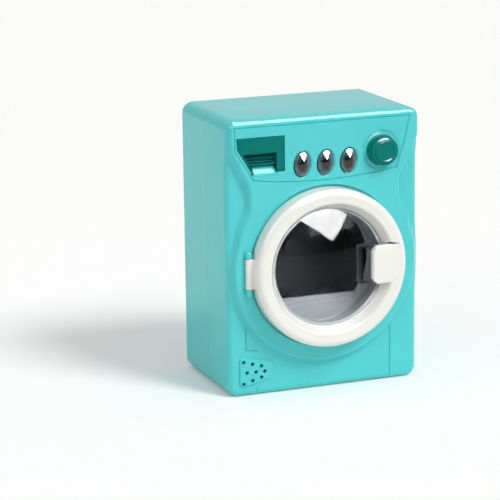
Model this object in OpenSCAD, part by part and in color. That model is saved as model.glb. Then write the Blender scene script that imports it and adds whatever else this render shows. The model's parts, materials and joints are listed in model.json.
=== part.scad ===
// Toy washing machine: a two-part moulded casing with a raised front, a hinged round door with a domed
// window, a geared drum in a tub, a detergent drawer, three lit buttons, a program dial and a speaker.
// X runs across the front, Y runs from the front to the back, Z is up. The origin is the middle of the base.

/* [Body] */
// Width of the casing
body_w = 163; // [156:1:176]
// Height of the casing
body_h = 222; // [204:1:240]
// Depth of the casing behind its lower front face
body_d = 102; // [98:1:115]
// Thickness of the moulded walls
wall = 2.4; // [2:0.1:2.8]
// Radius of the casing's corners, seen from the front
corner_r = 9; // [7:0.5:12]
// Radius of the casing's front and back edges
edge_r = 5; // [3:0.5:6]
// Depth of the rear half of the casing
rear_d = 57; // [52:1:60]
// Height of the lip that centres one half of the casing in the other
lip_h = 3; // [2:0.5:4]
// Thickness of that lip
lip_t = 1.1; // [0.8:0.1:1.2]
// Clearance between moulded pieces that are fitted by hand
fit_gap = 0.2; // [0.15:0.05:0.3]
// Clearance between pieces that move past each other
move_gap = 0.35; // [0.3:0.05:0.5]
// Radial clearance of shafts and pins in their bores
run_gap = 0.05; // [0.03:0.01:0.08]

/* [Front relief] */
// Height of the raised front above the lower front face
relief_h = 6; // [4:0.5:8]
// Width of the bevel round the raised front
bevel_w = 4; // [3:0.5:5]
// Distance from the casing's side to the side of the raised front at the control panel
panel_in = 3; // [1.5:0.5:6]
// Distance from the casing's side to the side of the raised front at its waist
waist_in = 18.5; // [14:0.5:22]
// Drop from the casing's top to where the panel starts to narrow, in hundredths of the panel's height
panel_drop = 41; // [35:1:47]
// Drop from the casing's top to the upper end of the waist, in hundredths of the panel's height
waist_top_drop = 95; // [88:1:98]
// Height of the lower end of the waist above the middle of the door
waist_low = 49; // [44:1:52]
// Radius of the raised collar round the door
collar_r = 76.5; // [74:0.5:77]
// Width of the thin seam lines
seam_w = 0.8; // [0.6:0.1:1.2]
// Depth of the thin seam lines
seam_t = 0.7; // [0.4:0.1:1]

/* [Door] */
// Height of the door's middle, in hundredths of the casing's height
door_rise = 45.7; // [45:0.1:47]
// Outer diameter of the door ring
door_od = 127; // [124:1:129]
// Distance from the raised front to the front of the door ring
ring_proud = 15; // [13.5:0.5:17]
// Radius of the door ring's rolled outer edge
ring_roll = 5; // [3:0.5:6]
// Radius of the clear part of the window
window_r = 47.5; // [46:0.5:48]
// Distance from the front of the door ring back to the edge of the window
window_in = 9.5; // [8:0.5:10]
// Thickness of the door ring's wall
ring_wall = 2.4; // [2:0.1:2.8]
// Distance from the door ring's front to the front of the handle
handle_proud = 2; // [1:0.5:3]
// Thickness of the clear window
window_t = 1.6; // [1.2:0.1:2]
// Width of the flange that holds the window
flange_w = 3.6; // [3:0.2:4.5]
// Depth of the round recess that the door ring closes into
recess_t = 1; // [0.6:0.1:1.2]
// Gap round the door ring in that recess
recess_gap = 1.5; // [1:0.1:2]
// Height of the hinge knuckle
knuckle_h = 24; // [18:1:30]
// Radius of the hinge knuckle
knuckle_r = 2.6; // [2.4:0.1:3]
// Height of each of the casing's hinge ears
ear_h = 5; // [4:0.5:7]
// Radius of the hinge pin
pin_r = 1; // [0.8:0.1:1.2]
// Height of the handle
handle_h = 31; // [28:1:34]
// Distance from the middle of the door to the handle's inner end
handle_in = 33; // [31:1:35]
// Thickness of the handle's grip
handle_t = 4.6; // [4:0.2:5.4]
// Depth of the finger pocket in the window
pocket_t = 11.5; // [9:0.5:12]

/* [Drum] */
// Outer radius of the drum
drum_r = 50; // [46:0.5:51]
// Depth of the drum
drum_d = 51; // [44:1:53]
// Number of lifters in the drum
lifters = 3; // [3:1:4]
// Height of the lifters
lifter_h = 9; // [6:0.5:11]
// Rows of drain holes along the drum
hole_rows = 4; // [3:1:5]
// Drain holes in each row
row_holes = 12; // [9:1:16]
// Radius of a drain hole
drain_r = 2; // [1.4:0.1:2.4]
// Radius of the tub's mouth
mouth_r = 44; // [42:0.5:45]
// Height of the flat sill in the tub's mouth, below the middle of the door
sill_drop = 29; // [26:1:34]
// Room between the door's hole and the outside of the tub
tub_room = 7; // [6:0.5:8]
// Radius of the drum shaft
shaft_r = 2; // [1.8:0.1:2.4]

/* [Gears] */
// Gear module
gear_m = 1; // [0.98:0.01:1.02]
// Teeth of the drum gear
drum_teeth = 72; // [68:1:74]
// Teeth of the idler's small gear
idler_small_teeth = 14; // [13:1:15]
// Teeth of the idler's large gear
idler_large_teeth = 44; // [42:1:46]
// Teeth of the motor pinion
pinion_teeth = 10; // [10:1:12]
// Width of the gears
gear_t = 5; // [4:0.5:5.5]
// Play between meshed teeth
backlash = 0.3; // [0.2:0.05:0.4]
// Radius of the idler's pin
idler_pin_r = 1.5; // [1.3:0.1:1.8]
// Radius of the motor's can
motor_r = 10; // [9:0.5:10.5]
// Length of the motor's can
motor_l = 25; // [22:1:28]
// Radius of the motor's shaft
motor_shaft_r = 1; // [0.8:0.1:1.2]

/* [Control panel] */
// Drop from the casing's top to the middle of the buttons, in hundredths of the panel's height
button_drop = 66; // [64:1:68]
// Distance between the buttons
button_pitch = 19.6; // [18.6:0.2:20]
// Width of a button
button_w = 13.4; // [12:0.2:14]
// Height of a button
button_h = 19.4; // [17:0.2:20]
// Height of a button's dome above the panel
button_proud = 2.6; // [2:0.2:3.5]
// Travel of a button
button_travel = 1.5; // [1:0.1:1.8]
// Distance from the middle of the machine to the dial's axis
dial_x = 47.5; // [45:0.5:49]
// Drop from the casing's top to the dial's axis, in hundredths of the panel's height
dial_drop = 55.5; // [54:0.5:58]
// Radius of the dial
dial_r = 11.5; // [10:0.5:12]
// Height of the dial above the panel
dial_proud = 9.5; // [7:0.5:11]
// Radius of the shallow dish round the dial
dish_r = 16.5; // [15:0.5:18]
// Radius of the dial's shaft
dial_shaft_r = 3.5; // [3:0.1:4]
// Drop from the casing's top to the ends of the panel's lower seam, in hundredths of the panel's height
panel_seam_drop = 83; // [80:1:85]

/* [Drawer] */
// Distance from the machine's middle to the drawer front's right edge
drawer_x = 34.8; // [34:0.2:37]
// Width of the drawer front at its lower edge
drawer_low_w = 27; // [24:0.2:28]
// Distance from the side of the raised front to the drawer front's upper left corner
drawer_in = 4.2; // [3.5:0.1:6]
// Height of the drawer front
drawer_h = 27.5; // [26:0.5:29]
// Drop from the casing's top to the drawer front's upper edge, in hundredths of the panel's height
drawer_drop = 24.5; // [23:0.5:27]
// Travel of the drawer
drawer_travel = 28; // [20:1:32]
// Length of the drawer's tray
tray_l = 42; // [38:1:46]
// Thickness of the drawer's walls
thin_wall = 1.2; // [1:0.1:1.5]

/* [Sound and power] */
// Radius of the speaker
speaker_r = 13.5; // [12:0.5:14]
// Radius of a speaker hole
grille_hole_r = 1.5; // [1.2:0.1:1.8]
// Height of the raised grille above the lower front face
grille_proud = 1.5; // [1:0.1:2]
// Length of a battery
cell_l = 50.5; // [49.5:0.1:50.5]
// Diameter of a battery
cell_d = 14.5; // [13.5:0.1:14.5]
// Number of batteries
cells = 3; // [2:1:3]
// Travel of the power switch
switch_travel = 4; // [3:0.5:5]

/* [Fasteners] */
// Radius of the small screws' threads
screw_r = 1.3; // [1.2:0.05:1.4]
// Radius of the small screws' heads
head_r = 2.6; // [2.3:0.1:2.8]
// Height of the screw heads
head_h = 1.8; // [1.4:0.1:2]
// Length of the small screws' threads
screw_l = 7; // [6:0.5:8]
// Radius of the screw posts
post_r = 3.4; // [3:0.1:3.6]

/* [Hidden] */
$fn = 72;
// Facets of the rounded blocks that are made by hull
hull_fn = 32;
// Thickness of the slices that a hull joins, and the overlap of a cut past a face
skin = 0.01;
past = 1;

aqua = [0.36, 0.82, 0.83];
teal = [0.02, 0.47, 0.45];
white = [0.94, 0.94, 0.92];
clear = [0.75, 0.8, 0.82, 0.35];
grey = [0.6, 0.62, 0.64];
charcoal = [0.12, 0.12, 0.13];
steel = [0.72, 0.73, 0.74];
brass = [0.8, 0.65, 0.3];
green = [0.1, 0.4, 0.2];
amber = [1, 0.55, 0.15, 0.7];

// Planes from the front to the back, with the whole depth centred on the origin
total_d = body_d + relief_h + ring_proud + handle_proud;
y_back = total_d / 2;
y_low = y_back - body_d;
y_plate = y_low - relief_h;
y_ring = y_plate - ring_proud;
y_front = y_ring - handle_proud;
y_split = y_back - rear_d;
y_low_in = y_low + wall;
y_plate_in = y_plate + wall;
y_back_in = y_back - wall;

// Heights of the door's middle and of the things on the panel above the door
door_z = body_h * door_rise / 100;
panel_h = body_h - door_z - door_od / 2;
button_z = body_h - panel_h * button_drop / 100;
panel_half = body_w / 2 - panel_in;
waist_half = body_w / 2 - waist_in;

// Extrudes an outline in X and Z from one depth to another
module slab(y0, y1) translate([0, y1, 0]) rotate([90, 0, 0]) linear_extrude(y1 - y0) children();

// A rod along Y at a point of the front view
module rod(r, y0, y1, at = [0, 0]) translate([at[0], y1, at[1]]) rotate([90, 0, 0]) cylinder(r = r, h = y1 - y0);

// A cone along Y, with one radius at the front and another at the back
module cone(r0, r1, y0, y1, at = [0, 0])
    translate([at[0], y1, at[1]]) rotate([90, 0, 0]) cylinder(r1 = r1, r2 = r0, h = y1 - y0);

// A tube along Y
module tube(r, bore, y0, y1, at = [0, 0]) difference() {
    rod(r, y0, y1, at);
    rod(bore, y0 - past, y1 + past, at);
}

// A box given by its two corners
module block(a, b) translate(a) cube(b - a);

// Turns a profile of radius and depth about an axis along Y
module turned(at = [0, 0]) translate([at[0], 0, at[1]]) rotate([-90, 0, 0]) rotate_extrude() children();

// A rectangle with round corners, from one corner to the other
module round_rect(a, b, r) {
    translate([a[0] + r, a[1]]) square([b[0] - a[0] - 2 * r, b[1] - a[1]]);
    translate([a[0], a[1] + r]) square([b[0] - a[0], b[1] - a[1] - 2 * r]);
    for (x = [a[0] + r, b[0] - r], z = [a[1] + r, b[1] - r]) translate([x, z]) circle(r = r);
}

// Points of an oval
oval_steps = 40;
function oval(w, h) = [for (i = [0 : oval_steps - 1])
    [w / 2 * cos(360 * i / oval_steps), h / 2 * sin(360 * i / oval_steps)]];

function mirrored(half) = concat(half, [for (i = [len(half) - 1 : -1 : 0]) [-half[i][0], half[i][1]]]);
function unit(v) = v / norm(v);
// Outward side of an edge of the right half outline, which runs downwards
function side(a, b) = let (d = unit(b - a)) [-d[1], d[0]];
// Where the corner b lies when the edges from a and to c move outwards by s
function shifted(a, b, c, s) = let (m = side(a, b), n = side(b, c)) b + s * (m + n) / (1 + m * n);

// The body's outline, and the outline of its hollow
module body_outline(inset = 0)
    round_rect([-body_w / 2 + inset, inset], [body_w / 2 - inset, body_h - inset], corner_r - inset);

// A block with the body's outline and rounded edges at one end
module rounded_body(y_edge, y_far) {
    toward = y_far > y_edge ? 1 : -1;
    tip = max(corner_r - edge_r, skin);
    hull() for (x = [-1, 1] * (body_w / 2 - corner_r), z = [corner_r, body_h - corner_r]) {
        translate([x, y_edge + toward * edge_r, z]) rotate([90, 0, 0])
            rotate_extrude($fn = hull_fn) translate([tip, 0]) intersection() {
                circle(r = edge_r, $fn = hull_fn);
                translate([-tip, -edge_r]) square([tip + edge_r, 2 * edge_r]);
            }
        translate([x, y_far - toward * skin / 2, z]) rotate([90, 0, 0])
            cylinder(r = corner_r, h = skin, center = true, $fn = hull_fn);
    }
}

// The raised front: corners of its right half, from the top down to the collar
door_at = [0, door_z];
top_edge = 3;
relief_lip = 0.4;
waist_corner = [waist_half, door_z + waist_low];
// The waist's flare runs to where it just touches the collar
flare_reach = max(norm([waist_half, waist_low]), collar_r + skin);
flare_angle = atan2(waist_low, waist_half) - acos(collar_r / flare_reach);
flare_end = door_at + collar_r * [cos(flare_angle), sin(flare_angle)];
relief = [[panel_half, body_h - top_edge], [panel_half, body_h - panel_h * panel_drop / 100],
    [waist_half, body_h - panel_h * waist_top_drop / 100], waist_corner, flare_end];
above = [panel_half, body_h];
below = flare_end + (flare_end - waist_corner);
function relief_at(s) = [for (i = [0 : len(relief) - 1]) i == 0
    ? relief[0] + [s, s]
    : shifted(relief[i - 1], relief[i], i + 1 < len(relief) ? relief[i + 1] : below, s)];

// Convex stretches of the raised front: panel, waist and flare
module relief_stretch(first, last) {
    top = mirrored([for (i = [first : last]) relief_at(0)[i]]);
    foot = mirrored([for (i = [first : last]) relief_at(bevel_w)[i]]);
    hull() {
        slab(y_plate, y_plate + relief_lip) polygon(top);
        slab(y_low, y_low + edge_r) polygon(foot);
    }
}

module raised_front() intersection() {
    slab(y_plate, y_low + edge_r) body_outline();
    union() {
        relief_stretch(0, 2);
        relief_stretch(2, 3);
        relief_stretch(3, 4);
        cone(collar_r, collar_r + bevel_w, y_plate, y_low, door_at);
        rod(collar_r + bevel_w, y_low, y_low + edge_r, door_at);
    }
}

// The hollow behind the raised front
relief_in = 1.4;
module relief_hollow() {
    inner = relief_at(-relief_in);
    for (run = [[0, 2], [2, 3], [3, 4]])
        slab(y_plate_in, y_low_in + past) polygon(mirrored([for (i = [run[0] : run[1]]) inner[i]]));
    rod(collar_r - relief_in, y_plate_in, y_low_in + past, door_at);
}

// Screws: the casing's six, seen from the front
casing_post_in = 8.5;
casing_post_z = 9;
casing_post_r = 3.6;
well_r = 5;
well_bore = 3.6;
well_floor = 2.5;
post_top = y_split + 1.5;
casing_screw_r = 1.5;
casing_screw_l = 10;
casing_head_r = 3;
post_x = body_w / 2 - casing_post_in;
casing_posts = [for (x = [-1, 1] * post_x, z = [casing_post_z, door_z + casing_post_in - wall / 4,
    body_h - casing_post_z]) [x, z]];
// Posts on the raised front start at its wall, the lower two at the lower wall
function post_foot(at) = at[1] < door_z / 2 ? y_low + wall / 2 : y_plate + wall / 2;

// A screw along Y, with its head at the back or the front
module screw(r, l, y_head, at, to_front = true, head = head_r, rise = head_h) {
    rod(r, to_front ? y_head - l : y_head, to_front ? y_head : y_head + l, at);
    difference() {
        rod(head, to_front ? y_head : y_head - rise, to_front ? y_head + rise : y_head, at);
        for (turn = [0, 90]) translate([at[0], to_front ? y_head + rise : y_head - rise, at[1]])
            rotate([0, turn, 0]) cube([head, rise, head / 4], center = true);
    }
}

// Hinge
hinge_out = knuckle_r + 0.4;
hinge_at = [-door_od / 2 - hinge_out, y_plate - knuckle_r + fit_gap / 2];
knuckle_gap = 0.3;

module upright(r, z0, z1) translate([hinge_at[0], hinge_at[1], z0]) cylinder(r = r, h = z1 - z0);

// Latch
latch_x = window_r + 8;
latch_t = 2;
latch_h = 10;
latch_reach = 6;
latch_room = 1.6;

// Tub and its fastenings, on the diagonals
door_hole_r = window_r + flange_w - 0.1;
tub_r = door_hole_r + tub_room;
tub_post_out = 4;
tub_post_at = tub_r + tub_post_out;
mouth_y = y_plate + 10.5;
neck_t = 2;
tub_posts = [for (a = [45 : 90 : 315]) door_at + tub_post_at * [cos(a), sin(a)]];
tub_screw_l = 11;
mouth_t = 2;
lug_t = 3;

// Speaker and grille: a fan of holes that closes in to the right
grille_at = [-body_w / 2 + 23, 19.5];
grille_corners = [[-14, 13.6], [15, 7.5], [15, -6.5], [-14, -12.4]];
grille_round = 3.5;
fan_columns = 3;
fan_pitch = 7.5;
fan_left = -10.6;
fan_rise = 8.9;
fan_close = 2.15;
fan_middle_shift = 2.8;
fan_holes = [for (i = [0 : fan_columns - 1], j = [-1, 0, 1]) grille_at
    + [fan_left + fan_pitch * i + (j == 0 ? fan_middle_shift : 0), j * (fan_rise - fan_close * i)]];
speaker_seat_t = 1.4;
speaker_post_at = speaker_r + 5;
speaker_posts = [for (s = [-1, 1]) grille_at + s * speaker_post_at * [-cos(45), sin(45)]];
speaker_rim_t = 4;
retainer_t = 1.6;

// Circuit board behind the buttons
board_y = y_plate + 13.5;
board_t = 1.6;
board_low = 11.5;
board_high = 13.5;
board_x0 = -button_pitch - 14;
board_x1 = dial_x + 15;
board_post_in = 3.8;
board_posts = [for (x = [board_x0 + board_post_in, board_x1 - board_post_in],
    z = [button_z - board_low + board_post_in, button_z + board_high - board_post_in]) [x, z]];

// Buttons
button_xs = [-button_pitch, 0, button_pitch];
button_rim = 1.6;
button_flange_t = 1;
button_wall = 1.2;
button_bevel = 1.3;
light_hole_r = 3.2;
spring_r = 4.8;
spring_wire = 0.6;
led_r = 2.5;
led_h = 6;
switch_off = 8;
flange_back = y_plate_in + move_gap + button_flange_t;

// Dial
dial_at = [dial_x, body_h - panel_h * dial_drop / 100];
dish_t = 0.8;
dial_boss_r = 6;
dial_boss_back = y_plate + 7;
dial_skirt = 1;
dial_washer_r = 6;
dial_washer_t = 1;
dial_face_r = 8.6;

// Drawer
drawer_top = body_h - panel_h * drawer_drop / 100;
drawer_top_w = panel_half - drawer_in - drawer_x;
drawer_low = drawer_top - drawer_h;
drawer_turn = 9;
drawer_lean = 0.7;
drawer_outline = [[-drawer_x, drawer_low], [-drawer_x - drawer_low_w, drawer_low],
    [-drawer_x - drawer_top_w + drawer_lean, drawer_top - drawer_turn], [-drawer_x - drawer_top_w, drawer_top],
    [-drawer_x, drawer_top]];
drawer_mid = [-drawer_x - drawer_top_w / 2, drawer_low + drawer_h / 2];
drawer_gap = 0.4;
// The same outline with a gap all round
drawer_hole = [for (p = drawer_outline) let (d = p - drawer_mid) p + drawer_gap * [sign(d[0]), sign(d[1])]];
front_t = 2.4;
pull_right = 7;
pull_low_w = 15.5;
pull_h = 15;
sill_h = 5;
sill_t = 7;
pocket_d = 11;
tray_z0 = drawer_low + sill_h + 0.6;
tray_h = 16.4;
tray_y0 = y_plate + pocket_d + thin_wall;
// Slanted left edge of the drawer front at a height, which the tray has to pass
slant = (drawer_top_w - drawer_lean - drawer_low_w) / (drawer_h - drawer_turn);
tray_x0 = -drawer_x - drawer_low_w - slant * (tray_z0 - drawer_low) + move_gap;
tray_x1 = -drawer_x - 2;
housing_t = 1.6;
housing_back = 4;
housing_y = y_low_in;
housing_posts = [[-drawer_x - 15.5, drawer_top + post_r],
    [-drawer_x - 25.5, tray_z0 - move_gap - housing_t - post_r]];
housing_lug_t = 2;

// Gear train
// The drum starts a running gap behind the mouth's funnel
drum_y0 = mouth_y + 15;
drum_y1 = drum_y0 + drum_d;
tub_back = drum_y1 + 6;
tub_wall = 2.4;
plate_back = tub_back + tub_wall;
gear_y = plate_back + 3.6;
large_y = gear_y + gear_t + 2;
large_t = 4;
bridge_y = large_y + large_t + 1.4;
bridge_t = 2.4;
train_angle = -45;
train = [cos(train_angle), sin(train_angle)];
idler_off = gear_m * (drum_teeth + idler_small_teeth) / 2;
motor_off = idler_off + gear_m * (idler_large_teeth + pinion_teeth) / 2;
idler_at = door_at + idler_off * train;
motor_at = door_at + motor_off * train;
bridge_post_off = 13;
bridge_posts = [door_at - (gear_m * drum_teeth / 2 + 6) * train, door_at + (motor_off + bridge_post_off) * train];
motor_flat = 0.75;
motor_nose_r = 3;
motor_nose = 1.6;
sleeve_t = 1.6;
sleeve_l = 14;
bush_r = 4.5;
bush_flange_r = 6.5;
bush_flange_t = 1.2;

// Battery bay, in the rear casing
bay_gap = 0.5;
contact_room = 3;
bay_x0 = -body_w / 2 + 19;
bay_x1 = bay_x0 + cell_l + 2 * contact_room;
bay_z0 = 7.5;
bay_z1 = bay_z0 + cells * (cell_d + bay_gap);
cover_t = 2;
cover_lip = 2.5;
bay_wall = 1.6;
bay_y0 = y_back - cover_t - cell_d - bay_gap;
battery_screw_at = [bay_x1 + 6, (bay_z0 + bay_z1) / 2];
cover_tail = 11;
cell_zs = [for (i = [0 : cells - 1]) bay_z0 + (i + 0.5) * (cell_d + bay_gap)];

// Power switch
switch_at = [32, 20];
switch_w = 13;
switch_h = 7;
switch_dish_t = 1.2;
knob_w = 4.5;
knob_h = 4;
switch_d = 5;
slider_t = 1.2;

// Corner of a tooth's flank on a circle: the half angle of the tooth at radius p
pressure = 20;
function inv(a) = tan(a) * 180 / PI - a;
function tooth_half(n, p) = let (r = gear_m * n / 2, b = r * cos(pressure))
    90 / n - backlash / 2 / r * 180 / PI / 2 + inv(pressure) - (p > b ? inv(acos(b / p)) : 0);
addendum = 0.9;
dedendum = 1.25;
flank_steps = 4;
// Outline of a spur gear with one tooth centred on the given angle
function gear_outline(n, angle) = let (r = gear_m * n / 2, r0 = r - dedendum * gear_m, r1 = r + addendum * gear_m)
    [for (t = [0 : n - 1], s = [-1, 1], k = [0 : flank_steps])
        let (step = s < 0 ? k : flank_steps - k, p = r0 + (r1 - r0) * step / flank_steps,
            a = angle + 360 * t / n + s * tooth_half(n, p)) p * [cos(a), sin(a)]];

module gear(n, angle, y0, y1, at) slab(y0, y1) translate(at) polygon(gear_outline(n, angle));

// A straight seam line from one point to another, cut into a face at depth y
module seam(a, b, y) translate([a[0], y, a[1]]) rotate([0, -atan2(b[1] - a[1], b[0] - a[0]), 0])
    translate([-seam_w / 2, -past, -seam_w / 2]) cube([norm(b - a) + seam_w, past + seam_t, seam_w]);

seam_in = 2.6;
seam_low = body_h - panel_h * panel_seam_drop / 100;
seam_dip = 3.8;
// The panel's seam, from its upper left corner down and round to its upper right corner
panel_seam = [[-panel_half + seam_in, body_h - top_edge - seam_in], [-panel_half + seam_in, relief[1][1]],
    [-waist_half + 2.5, seam_low], [-waist_half * 0.35, seam_low - seam_dip], [waist_half * 0.2, seam_low - seam_dip],
    [waist_half - 2.5, seam_low + 1], [panel_half - seam_in - 8, relief[1][1]],
    [panel_half - seam_in - 4, body_h - top_edge - seam_in], [-panel_half + seam_in, body_h - top_edge - seam_in]];
kick_x = 57.5;
kick_jog = 9;

module front_cuts() {
    // The door's hole, its recess and the room for the hinge knuckle and the latch
    rod(door_hole_r, y_plate - past, mouth_y + past, door_at);
    rod(door_od / 2 + recess_gap, y_plate - past, y_plate + recess_t, door_at);
    upright(knuckle_r + move_gap, door_z - knuckle_h / 2 - knuckle_gap, door_z + knuckle_h / 2 + knuckle_gap);
    block([latch_x - latch_room, y_plate - past, door_z - latch_h / 2 - latch_room],
        [latch_x + latch_t + latch_room, y_plate_in + past, door_z + latch_h / 2 + latch_room]);
    // Dial
    rod(dial_shaft_r + run_gap, y_plate - past, dial_boss_back + past, dial_at);
    cone(dish_r, dish_r - dish_t, y_plate, y_plate + dish_t, dial_at);
    // Buttons, with a bevel round each
    for (x = button_xs) {
        slab(y_plate - past, y_plate_in + past) translate([x, button_z])
            polygon(oval(button_w + 2 * move_gap, button_h + 2 * move_gap));
        slab(y_plate - past, y_plate + seam_t) translate([x, button_z])
            polygon(oval(button_w + 2 * button_bevel, button_h + 2 * button_bevel));
    }
    // Drawer
    slab(y_plate - past, y_plate_in + past) polygon(drawer_hole);
    // Speaker holes
    for (p = fan_holes) rod(grille_hole_r, y_low - grille_proud - past, y_low_in + past, p);
    // Seam lines
    for (i = [0 : len(panel_seam) - 2]) seam(panel_seam[i], panel_seam[i + 1], y_plate);
    seam([kick_x, -seam_w], [kick_x, door_z - sqrt(pow(collar_r + bevel_w, 2) - kick_x * kick_x)], y_low);
    seam([-kick_x, -seam_w], [-kick_x, grille_at[1] - 13.5], y_low);
    seam([-kick_x - kick_jog, grille_at[1] + 18], [-kick_x, grille_at[1] + 17], y_low);
    seam([-kick_x - kick_jog, grille_at[1] + 18],
        [-kick_x - kick_jog, door_z - sqrt(pow(collar_r + bevel_w, 2) - pow(kick_x + kick_jog, 2))], y_low);
    // Screw bores
    for (p = casing_posts) rod(casing_screw_r + run_gap, post_top - casing_screw_l, post_top + past, p);
    for (p = tub_posts) rod(screw_r + run_gap, y_plate_in, mouth_y + past, p);
    for (p = board_posts) rod(screw_r + run_gap, y_plate_in, board_y + past, p);
    for (p = housing_posts) rod(screw_r + run_gap, y_plate_in, housing_y + past, p);
    for (p = speaker_posts) rod(screw_r + run_gap, y_low_in, y_low_in + speaker_rim_t + past, p);
}

module front_posts() {
    for (p = casing_posts) rod(casing_post_r, post_foot(p), post_top, p);
    for (p = tub_posts) rod(post_r, y_plate + wall / 2, mouth_y, p);
    for (p = board_posts) rod(post_r, y_plate + wall / 2, board_y, p);
    for (p = housing_posts) rod(post_r, y_plate + wall / 2, housing_y, p);
    for (p = speaker_posts) rod(post_r, y_low + wall / 2, y_low_in + speaker_rim_t, p);
    rod(dial_boss_r, y_plate + wall / 2, dial_boss_back, dial_at);
    rod(door_hole_r + neck_t, y_plate + wall / 2, mouth_y, door_at);
    tube(speaker_r + move_gap + speaker_seat_t, speaker_r + move_gap, y_low + wall / 2, y_low_in + speaker_rim_t,
        grille_at);
}

// The sloped sill under the drawer's pull, in the casing's own colour
module drawer_sill() translate([-drawer_x - pull_right - pull_low_w + 0.8, 0, 0])
    rotate([90, 0, 90]) linear_extrude(pull_low_w - 1.6)
        polygon([[y_plate + wall / 4, drawer_low - wall], [y_plate + wall / 4, drawer_low - drawer_gap],
            [y_plate + sill_t, drawer_low + sill_h - 0.6], [y_plate + sill_t, drawer_low - wall]]);

module hinge_ears() for (m = [-1, 1]) {
    z0 = door_z + m * (knuckle_h / 2 + knuckle_gap);
    difference() {
        union() {
            upright(knuckle_r, min(z0, z0 + m * ear_h), max(z0, z0 + m * ear_h));
            block([hinge_at[0] - knuckle_r, hinge_at[1], min(z0, z0 + m * ear_h)],
                [hinge_at[0] + knuckle_r, y_plate + recess_t + wall / 4, max(z0, z0 + m * ear_h)]);
        }
        upright(pin_r + run_gap / 2, min(z0, z0 + m * (ear_h - 1)) - (m > 0 ? past : 0),
            max(z0, z0 + m * (ear_h - 1)) + (m < 0 ? past : 0));
    }
}

module grille_boss() hull() for (c = grille_corners) rod(grille_round, y_low - grille_proud, y_low + wall / 2,
    grille_at + c - grille_round * [sign(c[0]), sign(c[1])], $fn = hull_fn);

module front_casing() color(aqua) {
    difference() {
        union() {
            difference() {
                union() {
                    rounded_body(y_low, y_split);
                    raised_front();
                    grille_boss();
                }
                slab(y_low_in, y_split + past) body_outline(wall);
                relief_hollow();
            }
            front_posts();
        }
        front_cuts();
    }
    drawer_sill();
    hinge_ears();
}

module battery_bay_walls() block([bay_x0 - bay_wall, bay_y0 - bay_wall, bay_z0 - bay_wall],
    [bay_x1 + bay_wall, y_back_in + skin, bay_z1 + bay_wall]);

module rear_casing() color(aqua) difference() {
    union() {
        difference() {
            rounded_body(y_back, y_split);
            slab(y_split - past, y_back_in) body_outline(wall);
        }
        // The lip that reaches into the front half
        difference() {
            slab(y_split - lip_h, y_split + past) body_outline(wall + fit_gap);
            slab(y_split - lip_h - past, y_split + 2 * past) body_outline(wall + fit_gap + lip_t);
            for (p = casing_posts) rod(well_r + fit_gap, y_split - lip_h - past, y_split, p);
        }
        slab(y_split, y_split + past) difference() {
            body_outline(wall / 2);
            body_outline(wall + fit_gap + lip_t);
        }
        for (p = casing_posts) rod(well_r, post_top, y_back_in + skin, p);
        battery_bay_walls();
        rod(post_r, y_back - cover_t - screw_l, y_back_in + skin, battery_screw_at);
        // Ribs beside the power switch
        for (m = [-1, 1]) block(
            [switch_at[0] + m * (switch_w / 2 + fit_gap + wall / 2) - wall / 2, y_back_in - slider_t - switch_d,
                switch_at[1] - switch_h / 2],
            [switch_at[0] + m * (switch_w / 2 + fit_gap + wall / 2) + wall / 2, y_back_in + skin,
                switch_at[1] + switch_h / 2]);
    }
    // Screw wells
    for (p = casing_posts) {
        rod(well_bore, post_top + well_floor, y_back + past, p);
        rod(casing_screw_r + fit_gap, post_top - past, y_back, p);
    }
    // Battery bay and the recess for its cover
    block([bay_x0, bay_y0, bay_z0], [bay_x1, y_back + past, bay_z1]);
    block([bay_x0 - cover_lip, y_back - cover_t, bay_z0 - cover_lip],
        [bay_x1 + cover_tail, y_back + past, bay_z1 + cover_lip]);
    rod(screw_r + run_gap, y_back - cover_t - screw_l + skin, y_back, battery_screw_at);
    // Power switch: a shallow dish and its slot
    block([switch_at[0] - switch_w / 2, y_back - switch_dish_t, switch_at[1] - switch_h / 2],
        [switch_at[0] + switch_w / 2, y_back + past, switch_at[1] + switch_h / 2]);
    block([switch_at[0] - (knob_w + switch_travel) / 2 - move_gap, y_back_in - past, switch_at[1] - knob_h / 2 - move_gap],
        [switch_at[0] + (knob_w + switch_travel) / 2 + move_gap, y_back, switch_at[1] + knob_h / 2 + move_gap]);
}

module casing_screws() color(steel) for (p = casing_posts)
    screw(casing_screw_r, casing_screw_l + well_floor - past, post_top + well_floor, p, head = casing_head_r);

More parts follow.
